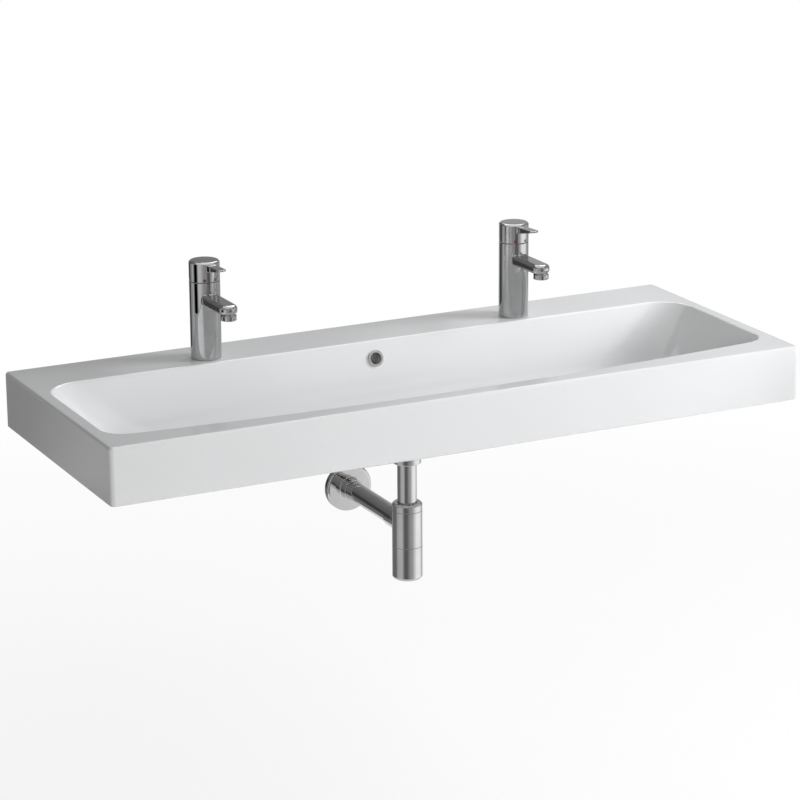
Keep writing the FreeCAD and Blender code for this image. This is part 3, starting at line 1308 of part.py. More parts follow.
SINGLES = {
    "basin": build_basin,
    "overflow_ring": build_overflow_ring,
    "waste_top_seal": build_waste_top_seal,
    "waste_body": build_waste_body,
    "waste_bottom_seal": build_waste_bottom_seal,
    "waste_backnut": build_waste_backnut,
    "plug_latch": build_plug_latch,
    "waste_plug": build_waste_plug,
    "plug_seal": build_plug_seal,
    "union_seal": build_union_seal,
    "union_nut": build_union_nut,
    "tailpipe": build_tailpipe,
    "trap_top_nut": build_trap_top_nut,
    "trap_top_seal": build_trap_top_seal,
    "trap_body": build_trap_body,
    "dip_tube": build_dip_tube,
    "trap_cup": build_trap_cup,
    "cup_seal": build_cup_seal,
    "outlet_nut": build_outlet_nut,
    "outlet_seal": build_outlet_seal,
    "wall_pipe": build_wall_pipe,
    "wall_rosette": build_rosette,
}


def save(name, shape):
    if not shape.isValid():
        raise ValueError(name + " is not a valid shape")
    shape.exportStep("parts/" + name + ".step")


def main():
    os.makedirs("parts", exist_ok=True)
    for name, build in SINGLES.items():
        save(name, build())
    for name, build in WALL_PAIRS.items():
        save(name, pair(build(), BOLT_SPACING))
    for name, build in TAP_PAIRS.items():
        save(name, moved(pair(build(), TAP_SPACING), 0, -TAP_SETBACK, RIM))
    for name, build in TAP_PARTS.items():
        shape = build()
        for side_name, side in (("left", -1), ("right", 1)):
            save(side_name + "_" + name, moved(shape, side * TAP_SPACING / 2, -TAP_SETBACK, RIM))


if __name__ == "__main__":
    main()
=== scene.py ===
import json
import math

import bmesh
import bpy
import numpy as np
from bpy.props import FloatProperty, FloatVectorProperty, PointerProperty
from mathutils import Matrix, Vector


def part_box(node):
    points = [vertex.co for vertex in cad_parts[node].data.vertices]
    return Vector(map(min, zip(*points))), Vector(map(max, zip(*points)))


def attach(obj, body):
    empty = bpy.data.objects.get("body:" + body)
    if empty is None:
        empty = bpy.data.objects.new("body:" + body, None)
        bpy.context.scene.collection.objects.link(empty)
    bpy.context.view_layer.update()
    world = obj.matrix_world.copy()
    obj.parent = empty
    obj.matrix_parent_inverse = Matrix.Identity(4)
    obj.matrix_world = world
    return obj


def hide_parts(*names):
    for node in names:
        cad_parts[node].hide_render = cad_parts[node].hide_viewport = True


# Wall-hung double washbasin with two single-lever taps and a bottle trap.
# Metres. The wall is the plane y = 0, the basin stands out towards -Y and +Z
# is up. The origin is midway between the two wall bolts, on the wall.

bl_info = {
    "name": "Double washbasin",
    "version": (1, 0, 0),
    "blender": (4, 5, 0),
    "location": "3D View > Sidebar > Washbasin",
    "description": "Builds a wall-hung washbasin with two taps and a bottle trap",
    "category": "Add Mesh",
}

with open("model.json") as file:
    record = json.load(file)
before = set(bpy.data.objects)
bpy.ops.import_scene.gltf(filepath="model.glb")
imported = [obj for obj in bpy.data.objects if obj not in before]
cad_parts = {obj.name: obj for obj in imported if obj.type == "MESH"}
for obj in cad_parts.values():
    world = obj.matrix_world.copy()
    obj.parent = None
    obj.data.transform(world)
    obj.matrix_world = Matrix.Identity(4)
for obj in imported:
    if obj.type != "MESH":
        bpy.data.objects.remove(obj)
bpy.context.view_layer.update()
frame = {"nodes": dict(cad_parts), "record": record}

SIDES = ("left", "right")


def length(name, description, default):
    """Size in metres."""
    return FloatProperty(name=name, description=description, default=default,
                         subtype="DISTANCE", unit="LENGTH", precision=4)


def share(name, description, default):
    """Plain number."""
    return FloatProperty(name=name, description=description, default=default, precision=3)


def colour(name, description, default):
    """Linear colour of a finish."""
    return FloatVectorProperty(name=name, description=description, default=default,
                               subtype="COLOR", size=3, min=0.0, max=1.0)


class BasinSizes(bpy.types.PropertyGroup):
    """Sizes of the glazed basin."""
    half_width: length("Half width", "Half of the outside width", 0.600)
    depth: length("Depth", "From the wall to the front face", 0.460)
    rim: length("Rim height", "Height of the deck above the wall bolts", 0.055)
    apron: length("Apron", "Height of the outside faces", 0.091)
    corner: length("Corner radius", "Round of the upright corners", 0.007)
    rim_round: length("Rim round", "Round of the deck's edges", 0.005)
    foot_round: length("Foot round", "Round of the lower edges", 0.002)
    apron_wall: length("Apron wall", "Thickness of the outside walls", 0.014)
    shell: length("Shell", "Thickness of the deck and the bowl", 0.013)
    cavity_corner: length("Hollow corner", "Corner radius of the open underside", 0.012)
    bowl_half: length("Bowl half width", "Half of the bowl's width at the rim", 0.578)
    bowl_back: length("Bowl back", "From the wall to the bowl's back edge", 0.109)
    bowl_front: length("Bowl front", "From the wall to the bowl's front edge", 0.428)
    front_arc: length("Front bow", "Radius of the bowl's bowed front edge", 5.4)
    back_corner: length("Back corner", "Plan radius of the bowl's back corners", 0.055)
    front_corner: length("Front corner", "Plan radius of the bowl's front corners", 0.038)
    back_growth: share("Back corner growth", "Growth of the back corners with depth", 0.35)
    front_growth: share("Front corner growth", "Growth of the front corners with depth", 0.3)
    end_lean: share("End lean", "Lean of the bowl's end walls", 0.89)
    back_lean: share("Back lean", "Lean of the bowl's back wall", 0.25)
    front_lean: share("Front lean", "Lean of the bowl's front wall", 0.22)
    end_blend: length("End blend", "Round between an end wall and the floor", 0.110)
    side_blend: length("Side blend", "Round between the long walls and the floor", 0.045)
    floor: length("Floor depth", "Depth of the bowl's floor at its edge", 0.104)
    fall: length("Floor fall", "How far the floor falls to the drain", 0.008)
    flat_half: length("Flat half width", "Half width of the level spot at the drain", 0.070)
    flat_behind: length("Flat behind", "Level floor behind the drain", 0.045)
    flat_before: length("Flat before", "Level floor before the drain", 0.0598)
    flat_corner: length("Flat corner", "Corner radius of the level spot", 0.030)
    drain_back: length("Drain setback", "From the wall to the drain", 0.230)
    drain_hole: length("Drain hole", "Radius of the drain hole", 0.0228)
    recess: length("Drain recess", "Radius of the seat of the waste", 0.033)
    recess_depth: length("Recess depth", "Depth of the seat of the waste", 0.0025)
    boss: length("Drain boss", "Radius of the thick ring below the drain", 0.036)
    overflow_below: length("Overflow", "From the rim down to the overflow's centre", 0.0286)
    overflow_hole: length("Overflow hole", "Radius of the overflow hole", 0.0112)
    duct_half: length("Duct half width", "Half of the outside width of the overflow duct", 0.028)
    duct_back: length("Duct back", "From the wall to the back of the duct", 0.078)


class TapSizes(bpy.types.PropertyGroup):
    """Sizes of one tap; heights are above the deck."""
    spacing: length("Spacing", "Between the axes of the two taps", 0.564)
    setback: length("Setback", "From the wall to the tap axis", 0.072)
    radius: length("Radius", "Radius of the body and of the cap", 0.025)
    body_top: length("Body top", "Height of the body's top", 0.1285)
    pivot: length("Pivot", "Height of the lever's pivot", 0.129)
    cap_low: length("Cap bottom", "Height of the cap's lower edge", 0.1293)
    cap_side: length("Cap side", "Height where the cap's side ends", 0.159)
    cap_top: length("Cap top", "Height of the middle of the cap's top", 0.163)
    spout_half: length("Spout half width", "Half of the spout's width", 0.015)
    spout_reach: length("Spout reach", "From the axis to the tip of the spout", 0.108)
    spout_edge: length("Spout edge", "Round of the spout's edges", 0.0065)
    lever_half: length("Lever half width", "Half of the lever's width", 0.008)
    lever_reach: length("Lever reach", "From the axis to the tip of the lever", 0.076)
    aerator_reach: length("Aerator reach", "From the axis to the aerator", 0.095)
    aerator_radius: length("Aerator radius", "Radius of the aerator's shell", 0.0128)
    aerator_low: length("Aerator bottom", "Height of the aerator's mouth", 0.0845)
    hole: length("Tap hole", "Radius of the hole in the deck", 0.0175)


class TrapSizes(bpy.types.PropertyGroup):
    """Sizes of the waste and the trap; heights are in the basin's frame."""
    radius: length("Bottle radius", "Radius of the trap's bottle", 0.025)
    pipe: length("Pipe radius", "Radius of the two chromed pipes", 0.016)
    top: length("Top", "Height of the top of the trap's upper nut", -0.188)
    bottom: length("Bottom", "Height of the bottle's bottom", -0.319)
    arm: length("Arm", "Height of the pipe to the wall", -0.228)
    rosette: length("Rosette radius", "Radius of the cover dish on the wall", 0.0415)


class Finishes(bpy.types.PropertyGroup):
    """Colours of the finishes."""
    glaze: colour("Glaze", "White glaze of the basin", (0.80, 0.805, 0.81))
    clay: colour("Fired clay", "Bare clay where the glaze was wiped off", (0.72, 0.70, 0.665))
    chrome: colour("Chrome", "Polished chrome plating", (0.53, 0.53, 0.53))
    brass: colour("Brass", "Turned brass", (0.70, 0.53, 0.27))
    steel: colour("Steel", "Zinc-plated steel", (0.58, 0.59, 0.60))
    rubber: colour("Rubber", "Black rubber", (0.025, 0.025, 0.027))
    plastic: colour("Plastic", "White moulded plastic", (0.78, 0.78, 0.76))
    disc: colour("Ceramic disc", "Lapped ceramic of the cartridge", (0.80, 0.79, 0.75))
    hot: colour("Hot mark", "Red mark", (0.16, 0.03, 0.04))
    cold: colour("Cold mark", "Blue mark", (0.05, 0.07, 0.13))


class StudioSettings(bpy.types.PropertyGroup):
    """Floor and camera."""
    floor: length("Floor height", "Height of the studio floor", -0.80)
    lens: FloatProperty(name="Lens", description="Focal length of the camera", default=134.75,
                        unit="CAMERA")
    azimuth: share("Azimuth", "Degrees of the camera round the basin", -26.4382)
    elevation: share("Elevation", "Degrees of the camera above the basin", 16.6778)
    roll: share("Roll", "Degrees of camera roll", -0.3312)
    distance: length("Distance", "From the camera to its target", 4.8226)


class WashbasinSettings(bpy.types.PropertyGroup):
    """All settings of the washbasin."""
    basin: PointerProperty(type=BasinSizes)
    tap: PointerProperty(type=TapSizes)
    trap: PointerProperty(type=TrapSizes)
    finish: PointerProperty(type=Finishes)
    studio: PointerProperty(type=StudioSettings)


# Mesh helpers

def grid_faces(rings, around, closed):
    """Quads between neighbouring rings; the last ring joins the first if closed."""
    rows = np.arange(rings if closed else rings - 1)[:, None]
    columns = np.arange(around)[None, :]
    after = (columns + 1) % around
    above = (rows + 1) % rings
    corners = (rows * around + columns, rows * around + after,
               above * around + after, above * around + columns)
    return np.stack(np.broadcast_arrays(*corners), axis=-1).reshape(-1, 4)


def shell_from_rings(rings, closed=False):
    """Closed surface through a stack of rings (R, N, 3).

    Either the stack runs round in a loop, or a fan from the middle of the
    first and of the last ring closes it. Faces point outwards.
    """
    count, around, _ = rings.shape
    points = rings.reshape(-1, 3)
    faces = grid_faces(count, around, closed)
    fans = np.zeros((0, 3), dtype=int)
    if not closed:
        middles = np.stack([rings[0].mean(axis=0), rings[-1].mean(axis=0)])
        here = np.arange(around)
        after = (here + 1) % around
        first = np.stack([np.full(around, len(points)), after, here], axis=1)
        last_row = (count - 1) * around
        last = np.stack([np.full(around, len(points) + 1), last_row + here, last_row + after], axis=1)
        points = np.concatenate([points, middles])
        fans = np.concatenate([first, last])
    triangles = np.concatenate([faces[:, [0, 1, 2]], faces[:, [0, 2, 3]], fans])
    a, b, c = points[triangles[:, 0]], points[triangles[:, 1]], points[triangles[:, 2]]
    if np.einsum("ij,ij->i", a, np.cross(b, c)).sum() < 0:
        faces = faces[:, ::-1]
        fans = fans[:, ::-1]
    return points, faces, fans


def rounded(corners, rounds, steps=5, closed=True):
    """Profile through 2-D corners with each one rounded by its own radius.

    The round is the conic through the two touching points with the corner as
    its control point and the cosine of half the turn as its weight, which is
    the arc of a circle.
    """
    corners = np.asarray(corners, dtype=float)
    rounds = np.broadcast_to(np.asarray(rounds, dtype=float), len(corners))
    out = []
    for index, (corner, radius) in enumerate(zip(corners, rounds)):
        inner = closed or 0 < index < len(corners) - 1
        if radius <= 0 or not inner:
            out.append(corner[None])
            continue
        back = corners[index - 1] - corner
        ahead = corners[(index + 1) % len(corners)] - corner
        back_length, ahead_length = np.linalg.norm(back), np.linalg.norm(ahead)
        back, ahead = back / back_length, ahead / ahead_length
        turn = math.pi - math.acos(float(np.clip(back @ ahead, -1, 1)))
        reach = min(radius * math.tan(turn / 2), 0.49 * back_length, 0.49 * ahead_length)
        t = np.linspace(0, 1, steps + 1)[:, None]
        weight = math.cos(turn / 2)
        top = (1 - t) ** 2 * (corner + back * reach) + t ** 2 * (corner + ahead * reach)
        top = top + 2 * weight * t * (1 - t) * corner
        out.append(top / ((1 - t) ** 2 + 2 * weight * t * (1 - t) + t ** 2))
    return np.concatenate(out)


def turned(corners, rounds, around=112, steps=5):
    """Surface of revolution about Z: (radius, height) corners, rounded.

    Each profile point (r, h) becomes the ring (r cos a, r sin a, h). A profile
    that starts and ends on the axis is closed there; any other one is a loop.
    """
    on_axis = corners[0][0] == 0
    profile = rounded(corners, rounds, steps, closed=not on_axis)
    if on_axis:
        profile = profile[1:-1]
    angle = np.arange(around) * 2 * np.pi / around
    radius, height = profile[:, :1], profile[:, 1:]
    ring = np.stack(np.broadcast_arrays(radius * np.cos(angle), radius * np.sin(angle), height), axis=-1)
    if not on_axis:
        return shell_from_rings(ring, closed=True)
    points, faces, fans = shell_from_rings(ring)
    points[-2] = (0, 0, corners[0][1])
    points[-1] = (0, 0, corners[-1][1])
    return points, faces, fans


def placed(shell, matrix):
    """The shell carried by a rigid 4 x 4 matrix."""
    points, faces, fans = shell
    turn = np.array(matrix.to_3x3())
    return points @ turn.T + np.array(matrix.translation), faces, fans


def at(x, y, z):
    """Moves a shape."""
    return Matrix.Translation((x, y, z))


def lying(x, y, z):
    """Turns +Z of a turned shape to +Y, then moves it."""
    return at(x, y, z) @ Matrix.Rotation(math.radians(-90), 4, "X")


def drill(radius, low, high, around):
    """Round tool about Z that cuts a hole."""
    return turned([(0, low), (radius, low), (radius, high), (0, high)], 0.0, around)


def mesh_from(name, shells):
    """One mesh of several closed shells."""
    points, quads, threes, offset = [], [], [], 0
    for shell_points, faces, fans in shells:
        points.append(shell_points)
        quads.append(faces + offset)
        threes.append(fans + offset)
        offset += len(shell_points)
    points, quads, threes = np.concatenate(points), np.concatenate(quads), np.concatenate(threes)
    mesh = bpy.data.meshes.new(name)
    mesh.from_pydata(points.tolist(), [], quads.tolist() + threes.tolist())
    mesh.validate()
    return mesh


def smooth(mesh, angle=32):
    """Smooth shading with creases where faces meet at more than the angle."""
    mesh.polygons.foreach_set("use_smooth", np.ones(len(mesh.polygons), dtype=bool))
    mesh.set_sharp_from_angle(angle=math.radians(angle))


def even_normals(piece):
    """Shades wide faces flat against their narrow rounded edges."""
    modifier = piece.modifiers.new("even_normals", "WEIGHTED_NORMAL")
    modifier.mode = "FACE_AREA"
    modifier.weight = 60
    modifier.keep_sharp = True


def add_object(name, mesh):
    """Object at the origin, unturned and unscaled."""
    piece = bpy.data.objects.new(name, mesh)
    bpy.context.collection.objects.link(piece)
    return piece


def add_piece(name, shells, slot, body, *nodes):
    """One finished piece of the object, which stands for its CAD nodes."""
    mesh = mesh_from(name, shells)
    smooth(mesh)
    mesh.materials.append(finish_for(slot))
    piece = add_object(name, mesh)
    even_normals(piece)
    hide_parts(*nodes)
    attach(piece, body)
    return piece


def carved(piece, tools):
    """Applies solid tools to a piece: (operation, shells) in order."""
    piece.modifiers.clear()
    helpers = []
    for operation, shells in tools:
        helper = add_object("carving_helper", mesh_from("carving_helper", shells))
        modifier = piece.modifiers.new("carving", "BOOLEAN")
        modifier.operation = operation
        modifier.solver = "EXACT"
        modifier.object = helper
        helpers.append(helper)
    graph = bpy.context.evaluated_depsgraph_get()
    mesh = bpy.data.meshes.new_from_object(piece.evaluated_get(graph))
    piece.modifiers.clear()
    piece.data = mesh
    for helper in helpers:
        bpy.data.objects.remove(helper)
    smooth(mesh)
    even_normals(piece)
    return piece


def joined(piece, shells):
    """Adds more closed shells to a finished piece."""
    extra = mesh_from("extra", shells)
    both = bmesh.new()
    both.from_mesh(piece.data)
    both.from_mesh(extra)
    both.to_mesh(piece.data)
    both.free()
    bpy.data.meshes.remove(extra)
    smooth(piece.data)
    return piece


# Materials

class Wiring:
    """Small helper that adds shader nodes and joins them."""

    def __init__(self, name):
        """Starts a new material that reads Object coordinates."""
        self.material = bpy.data.materials.new(name)
        self.material.use_nodes = True
        self.nodes = self.material.node_tree.nodes
        self.links = self.material.node_tree.links
        self.shader = self.nodes["Principled BSDF"]
        self.place = self.add("ShaderNodeTexCoord").outputs["Object"]

    def add(self, kind, **settings):
        """New node with its settings."""
        node = self.nodes.new(kind)
        for key, value in settings.items():
            setattr(node, key, value)
        return node

    def join(self, source, target):
        """Link between two sockets."""
        self.links.new(source, target)

    def fix(self, **values):
        """Constants on the shader's own sockets."""
        for key, value in values.items():
            self.shader.inputs[key.replace("_", " ")].default_value = value

    def noise(self, scale, detail=4.0, stretch=None, rough=0.55):
        """Soft noise, stretched where a finish has a direction."""
        source = self.place
        if stretch:
            mapping = self.add("ShaderNodeMapping")
            mapping.inputs["Scale"].default_value = stretch
            self.join(self.place, mapping.inputs["Vector"])
            source = mapping.outputs["Vector"]
        node = self.add("ShaderNodeTexNoise")
        node.inputs["Scale"].default_value = scale
        node.inputs["Detail"].default_value = detail
        node.inputs["Roughness"].default_value = rough
        self.join(source, node.inputs["Vector"])
        return node.outputs["Fac"]

    def span(self, source, low, high, from_low=0.3, from_high=0.7):
        """Even map from one range to another, cut off at both ends."""
        node = self.add("ShaderNodeMapRange")
        node.inputs["From Min"].default_value = from_low
        node.inputs["From Max"].default_value = from_high
        node.inputs["To Min"].default_value = low
        node.inputs["To Max"].default_value = high
        self.join(source, node.inputs["Value"])
        return node.outputs["Result"]

    def blend(self, amount, first, second):
        """Mix of two colours, each given as a tone or as a socket."""
        node = self.add("ShaderNodeMix", data_type="RGBA")
        for socket, value in ((node.inputs[6], first), (node.inputs[7], second)):
            if isinstance(value, bpy.types.NodeSocket):
                self.join(value, socket)
            else:
                socket.default_value = (*value, 1.0)
        self.join(amount, node.inputs["Factor"])
        return node.outputs[2]

    def math(self, operation, first, second):
        """One operation on two numbers, each given as a value or as a socket."""
        node = self.add("ShaderNodeMath", operation=operation)
        for socket, value in ((node.inputs[0], first), (node.inputs[1], second)):
            if isinstance(value, bpy.types.NodeSocket):
                self.join(value, socket)
            else:
                socket.default_value = value
        return node.outputs[0]

    def bump(self, height, strength, distance):
        """Fine relief that only bends the light."""
        node = self.add("ShaderNodeBump")
        node.inputs["Strength"].default_value = strength
        node.inputs["Distance"].default_value = distance
        self.join(height, node.inputs["Height"])
        self.join(node.outputs["Normal"], self.shader.inputs["Normal"])

    def axis(self, name):
        """One of the Object coordinates."""
        node = self.add("ShaderNodeSeparateXYZ")
        self.join(self.place, node.inputs["Vector"])
        return node.outputs[name]

    def paint(self, socket):
        """Base colour from a socket."""
        self.join(socket, self.shader.inputs["Base Color"])

    def roughen(self, socket):
        """Roughness from a socket."""
        self.join(socket, self.shader.inputs["Roughness"])


def scaled(tone, amount):
    """Lighter or darker tone."""
    return tuple(min(1.0, channel * amount) for channel in tone)


def glaze_finish(settings):
    """White sanitary glaze: faint kiln clouds, orange peel, bare clay at the wall and foot."""
    w = Wiring("white_glaze")
    tone = settings.finish.glaze[:]
    clouds = w.span(w.noise(3.0, 3.0), 0.0, 1.0)
    glaze = w.blend(clouds, scaled(tone, 0.985), scaled(tone, 1.012))
    specks = w.span(w.noise(1900.0, 1.0), 0.0, 1.0, 0.78, 0.83)
    glaze = w.blend(specks, glaze, scaled(tone, 0.80))
    wall = w.span(w.axis("Y"), 0.0, 1.0, -0.0032, -0.0022)
    low = settings.basin.rim - settings.basin.apron
    foot = w.span(w.axis("Z"), 1.0, 0.0, low + 0.0004, low + 0.0012)
    half_depth, half_width = settings.basin.depth / 2, settings.basin.half_width
    from_middle = w.math("ABSOLUTE", w.math("ADD", w.axis("Y"), half_depth), 0.0)
    long_foot = w.span(from_middle, 0.0, 1.0, half_depth - 0.018, half_depth - 0.017)
    across = w.math("ABSOLUTE", w.axis("X"), 0.0)
    end_foot = w.span(across, 0.0, 1.0, half_width - 0.018, half_width - 0.017)
    bare = w.math("MAXIMUM", wall, w.math("MULTIPLY", foot, w.math("MAXIMUM", long_foot, end_foot)))
    clay = w.blend(w.noise(420.0, 6.0), scaled(settings.finish.clay[:], 0.9), settings.finish.clay[:])
    w.paint(w.blend(bare, glaze, clay))
    sheen = w.span(w.noise(40.0, 5.0), 0.03, 0.07)
    w.roughen(w.math("ADD", sheen, w.math("MULTIPLY", bare, 0.7)))
    peel = w.noise(85.0, 2.0)
    grain = w.math("MULTIPLY", w.math("MULTIPLY", w.noise(1500.0, 4.0), bare), 0.6)
    w.bump(w.math("ADD", peel, grain), 0.12, 0.0006)
    w.fix(IOR=1.52, Coat_Weight=0.35, Coat_Roughness=0.02, Coat_IOR=1.5)
    return w.material


def chrome_finish(settings):
    """Chrome plating: clear mirror with faint polishing lines and wiped patches."""
    w = Wiring("polished_chrome")
    tone = settings.finish.chrome[:]
    patches = w.span(w.noise(22.0, 4.0), 0.0, 1.0)
    w.paint(w.blend(patches, scaled(tone, 0.93), scaled(tone, 1.05)))
    lines = w.noise(160.0, 3.0, stretch=(1.0, 1.0, 0.06))
    wiped = w.span(w.noise(34.0, 5.0), 0.015, 0.055)
    w.roughen(w.math("ADD", wiped, w.span(lines, 0.0, 0.02)))
    w.bump(w.math("ADD", w.noise(70.0, 2.0), w.math("MULTIPLY", lines, 0.08)), 0.06, 0.0004)
    w.fix(Metallic=1.0)
    return w.material


def brass_finish(settings):
    """Turned brass: fine rings from the lathe and slight tarnish."""
    w = Wiring("turned_brass")
    tone = settings.finish.brass[:]
    tarnish = w.span(w.noise(60.0, 5.0), 0.0, 1.0)
    w.paint(w.blend(tarnish, scaled(tone, 0.72), scaled(tone, 1.04)))
    rings = w.noise(900.0, 2.0, stretch=(0.04, 0.04, 1.0))
    w.roughen(w.span(rings, 0.20, 0.38))
    w.bump(rings, 0.25, 0.0002)
    w.fix(Metallic=1.0)
    return w.material


def steel_finish(settings):
    """Zinc-plated steel: crystalline bluish patches and a dull sheen."""
    w = Wiring("zinc_plated_steel")
    tone = settings.finish.steel[:]
    cells = w.add("ShaderNodeTexVoronoi")
    cells.inputs["Scale"].default_value = 700.0
    w.join(w.place, cells.inputs["Vector"])
    spangle = w.span(cells.outputs["Distance"], 0.0, 1.0, 0.0, 0.8)
    w.paint(w.blend(spangle, scaled(tone, 0.84), scaled(tone, 1.05)))
    w.roughen(w.span(w.noise(260.0, 4.0), 0.24, 0.46))
    w.bump(w.noise(900.0, 3.0), 0.2, 0.0001)
    w.fix(Metallic=1.0)
    return w.material


def rubber_finish(settings):
    """Black moulded rubber with a fine matt grain and dusty bloom."""
    w = Wiring("black_rubber")
    tone = settings.finish.rubber[:]
    bloom = w.span(w.noise(130.0, 5.0), 0.0, 1.0, 0.4, 0.8)
    w.paint(w.blend(bloom, tone, scaled(tone, 2.2)))
    w.roughen(w.span(w.noise(500.0, 4.0), 0.52, 0.74))
    w.bump(w.noise(1600.0, 3.0), 0.35, 0.0002)
    return w.material


def plastic_finish(settings):
    """White moulded plastic: satin grain and slight flow marks."""
    w = Wiring("white_plastic")
    tone = settings.finish.plastic[:]
    flow = w.span(w.noise(70.0, 4.0, stretch=(1.0, 1.0, 0.3)), 0.0, 1.0)
    w.paint(w.blend(flow, scaled(tone, 0.94), scaled(tone, 1.03)))
    w.roughen(w.span(w.noise(300.0, 3.0), 0.34, 0.5))
    w.bump(w.noise(1200.0, 3.0), 0.2, 0.0001)
    w.fix(IOR=1.46)
    return w.material


def disc_finish(settings):
    """Lapped technical ceramic with a speckled satin face."""
    w = Wiring("lapped_ceramic")
    tone = settings.finish.disc[:]
    specks = w.span(w.noise(1400.0, 3.0), 0.0, 1.0, 0.45, 0.75)
    w.paint(w.blend(specks, tone, scaled(tone, 0.82)))
    w.roughen(w.span(w.noise(800.0, 4.0), 0.16, 0.3))
    w.bump(w.noise(2200.0, 2.0), 0.1, 0.0001)
    return w.material


def mark_finish(name, tone):
    """Coloured enamel mark with slight pooling."""
    w = Wiring(name)
    pool = w.span(w.noise(420.0, 2.0), 0.0, 1.0)
    w.paint(w.blend(pool, scaled(tone, 0.8), scaled(tone, 1.15)))
    w.roughen(w.span(w.noise(700.0, 3.0), 0.12, 0.24))
    w.bump(w.noise(500.0, 2.0), 0.15, 0.0002)
    w.fix(Coat_Weight=0.4)
    return w.material


FINISHES = {
    "glaze": glaze_finish,
    "chrome": chrome_finish,
    "brass": brass_finish,
    "steel": steel_finish,
    "rubber": rubber_finish,
    "plastic": plastic_finish,
    "disc_ceramic": disc_finish,
    "red_mark": lambda settings: mark_finish("red_enamel", settings.finish.hot[:]),
    "blue_mark": lambda settings: mark_finish("blue_enamel", settings.finish.cold[:]),
}
made_finishes = {}


def finish_for(slot):
    """Material of a slot, made when it is first asked for."""
    if slot not in made_finishes:
        made_finishes[slot] = FINISHES[slot](bpy.context.scene.washbasin)
    return made_finishes[slot]


# Basin

def wall_inset(depth, lean, blend, floor):
    """How far a wall has moved inwards at a depth below the rim.

    Lean times depth, then a round of the blend radius that ends level with
    the floor.
    """
    angle = math.atan(lean)
    straight = floor - blend * (1 - math.sin(angle))
    foot = lean * straight + blend * math.cos(angle)
    cosine = np.clip((depth - floor + blend) / blend, 0, 1)
    return np.where(depth <= straight, lean * depth, foot - blend * np.sqrt(1 - cosine ** 2))


BACK_POINTS, CORNER_POINTS, END_POINTS, FRONT_POINTS = 120, 14, 24, 120
STRAIGHT = 900.0        # bow radius of a front that looks straight
BOLT_OFFSET = 0.36      # from the middle to the axis of a wall bolt
BOLT_HOLE = 0.0113      # radius of the hole for a wall bolt
DRILL_REACH = 0.03      # how far a drill stands out on each side
BOSS_DROP = 0.024       # from the bowl's outer skin down to the foot of the drain boss


def outline(half, back, front, back_round, front_round, bow, height):
    """Plan outlines (R, N, 3): straight back and ends, bowed front, round corners.

    The back runs to +X, the right end to -Y, the front back to -X. The front
    is an arc of the bow radius, and each corner arc touches both neighbours.
    """
    values = np.broadcast_arrays(*[np.atleast_1d(np.asarray(v, dtype=float))
                                   for v in (half, back, front, back_round, front_round, bow, height)])
    half, back, front, back_round, front_round, bow, height = [v[:, None] for v in values]
    inner_x = half - front_round
    centre = front + bow
    corner_y = centre - np.sqrt((bow - front_round) ** 2 - inner_x ** 2)
    heading = np.arctan2(corner_y - centre, inner_x)
    back_x, back_y = half - back_round, back - back_round

    def steps(count):
        """Even shares from 0 up to, and without, 1."""
        return np.arange(count)[None, :] / count

    def arc(x, y, radius, start, end, count):
        """Points about a centre, evenly by angle."""
        angle = start + (end - start) * steps(count)
        return x + radius * np.cos(angle), y + radius * np.sin(angle)

    def line(x0, y0, x1, y1, count):
        """Points evenly from one place to another."""
        return x0 + (x1 - x0) * steps(count), y0 + (y1 - y0) * steps(count)

    quarter = np.pi / 2
    runs = [
        line(-back_x, back, back_x, back, BACK_POINTS),
        arc(back_x, back_y, back_round, quarter, 0, CORNER_POINTS),
        line(half, back_y, half, corner_y, END_POINTS),
        arc(inner_x, corner_y, front_round, 0, heading, CORNER_POINTS),
        arc(0, centre, bow, heading, -np.pi - heading, FRONT_POINTS),
        arc(-inner_x, corner_y, front_round, -np.pi - heading, -np.pi, CORNER_POINTS),
        line(-half, corner_y, -half, back_y, END_POINTS),
        arc(-back_x, back_y, back_round, 2 * quarter, quarter, CORNER_POINTS),
    ]
    x = np.concatenate([run[0] for run in runs], axis=1)
    y = np.concatenate([run[1] for run in runs], axis=1)
    return np.stack(np.broadcast_arrays(x, y, height), axis=-1)


def bowl_rings(b, depth, grow, height):
    """Rings of the bowl wall at depths below the rim, moved outwards by grow."""
    depth = np.atleast_1d(np.asarray(depth, dtype=float))
    growth = np.maximum(depth, 0)
    return outline(
        b.bowl_half - wall_inset(depth, b.end_lean, b.end_blend, b.floor) + grow,
        -b.bowl_back - wall_inset(depth, b.back_lean, b.side_blend, b.floor) + grow,
        -b.bowl_front + wall_inset(depth, b.front_lean, b.side_blend, b.floor) - grow,
        b.back_corner + b.back_growth * growth,
        b.front_corner + b.front_growth * growth,
        b.front_arc, height)


def outer_rings(b, inset, height):
    """Rings of the outside: the plan rectangle moved inwards by an inset."""
    inset = np.asarray(inset)
    radius = np.maximum(b.corner - inset, 0.0005)
    return outline(b.half_width - inset, -inset, -b.depth + inset, radius, radius, STRAIGHT, height)


def plan_normals(ring):
    """Level unit vectors that point out of a ring, from its tangent."""
    tangent = np.roll(ring, -1, axis=0) - np.roll(ring, 1, axis=0)
    normal = np.stack([-tangent[:, 1], tangent[:, 0], np.zeros(len(ring))], axis=1)
    return normal / np.linalg.norm(normal, axis=1, keepdims=True)


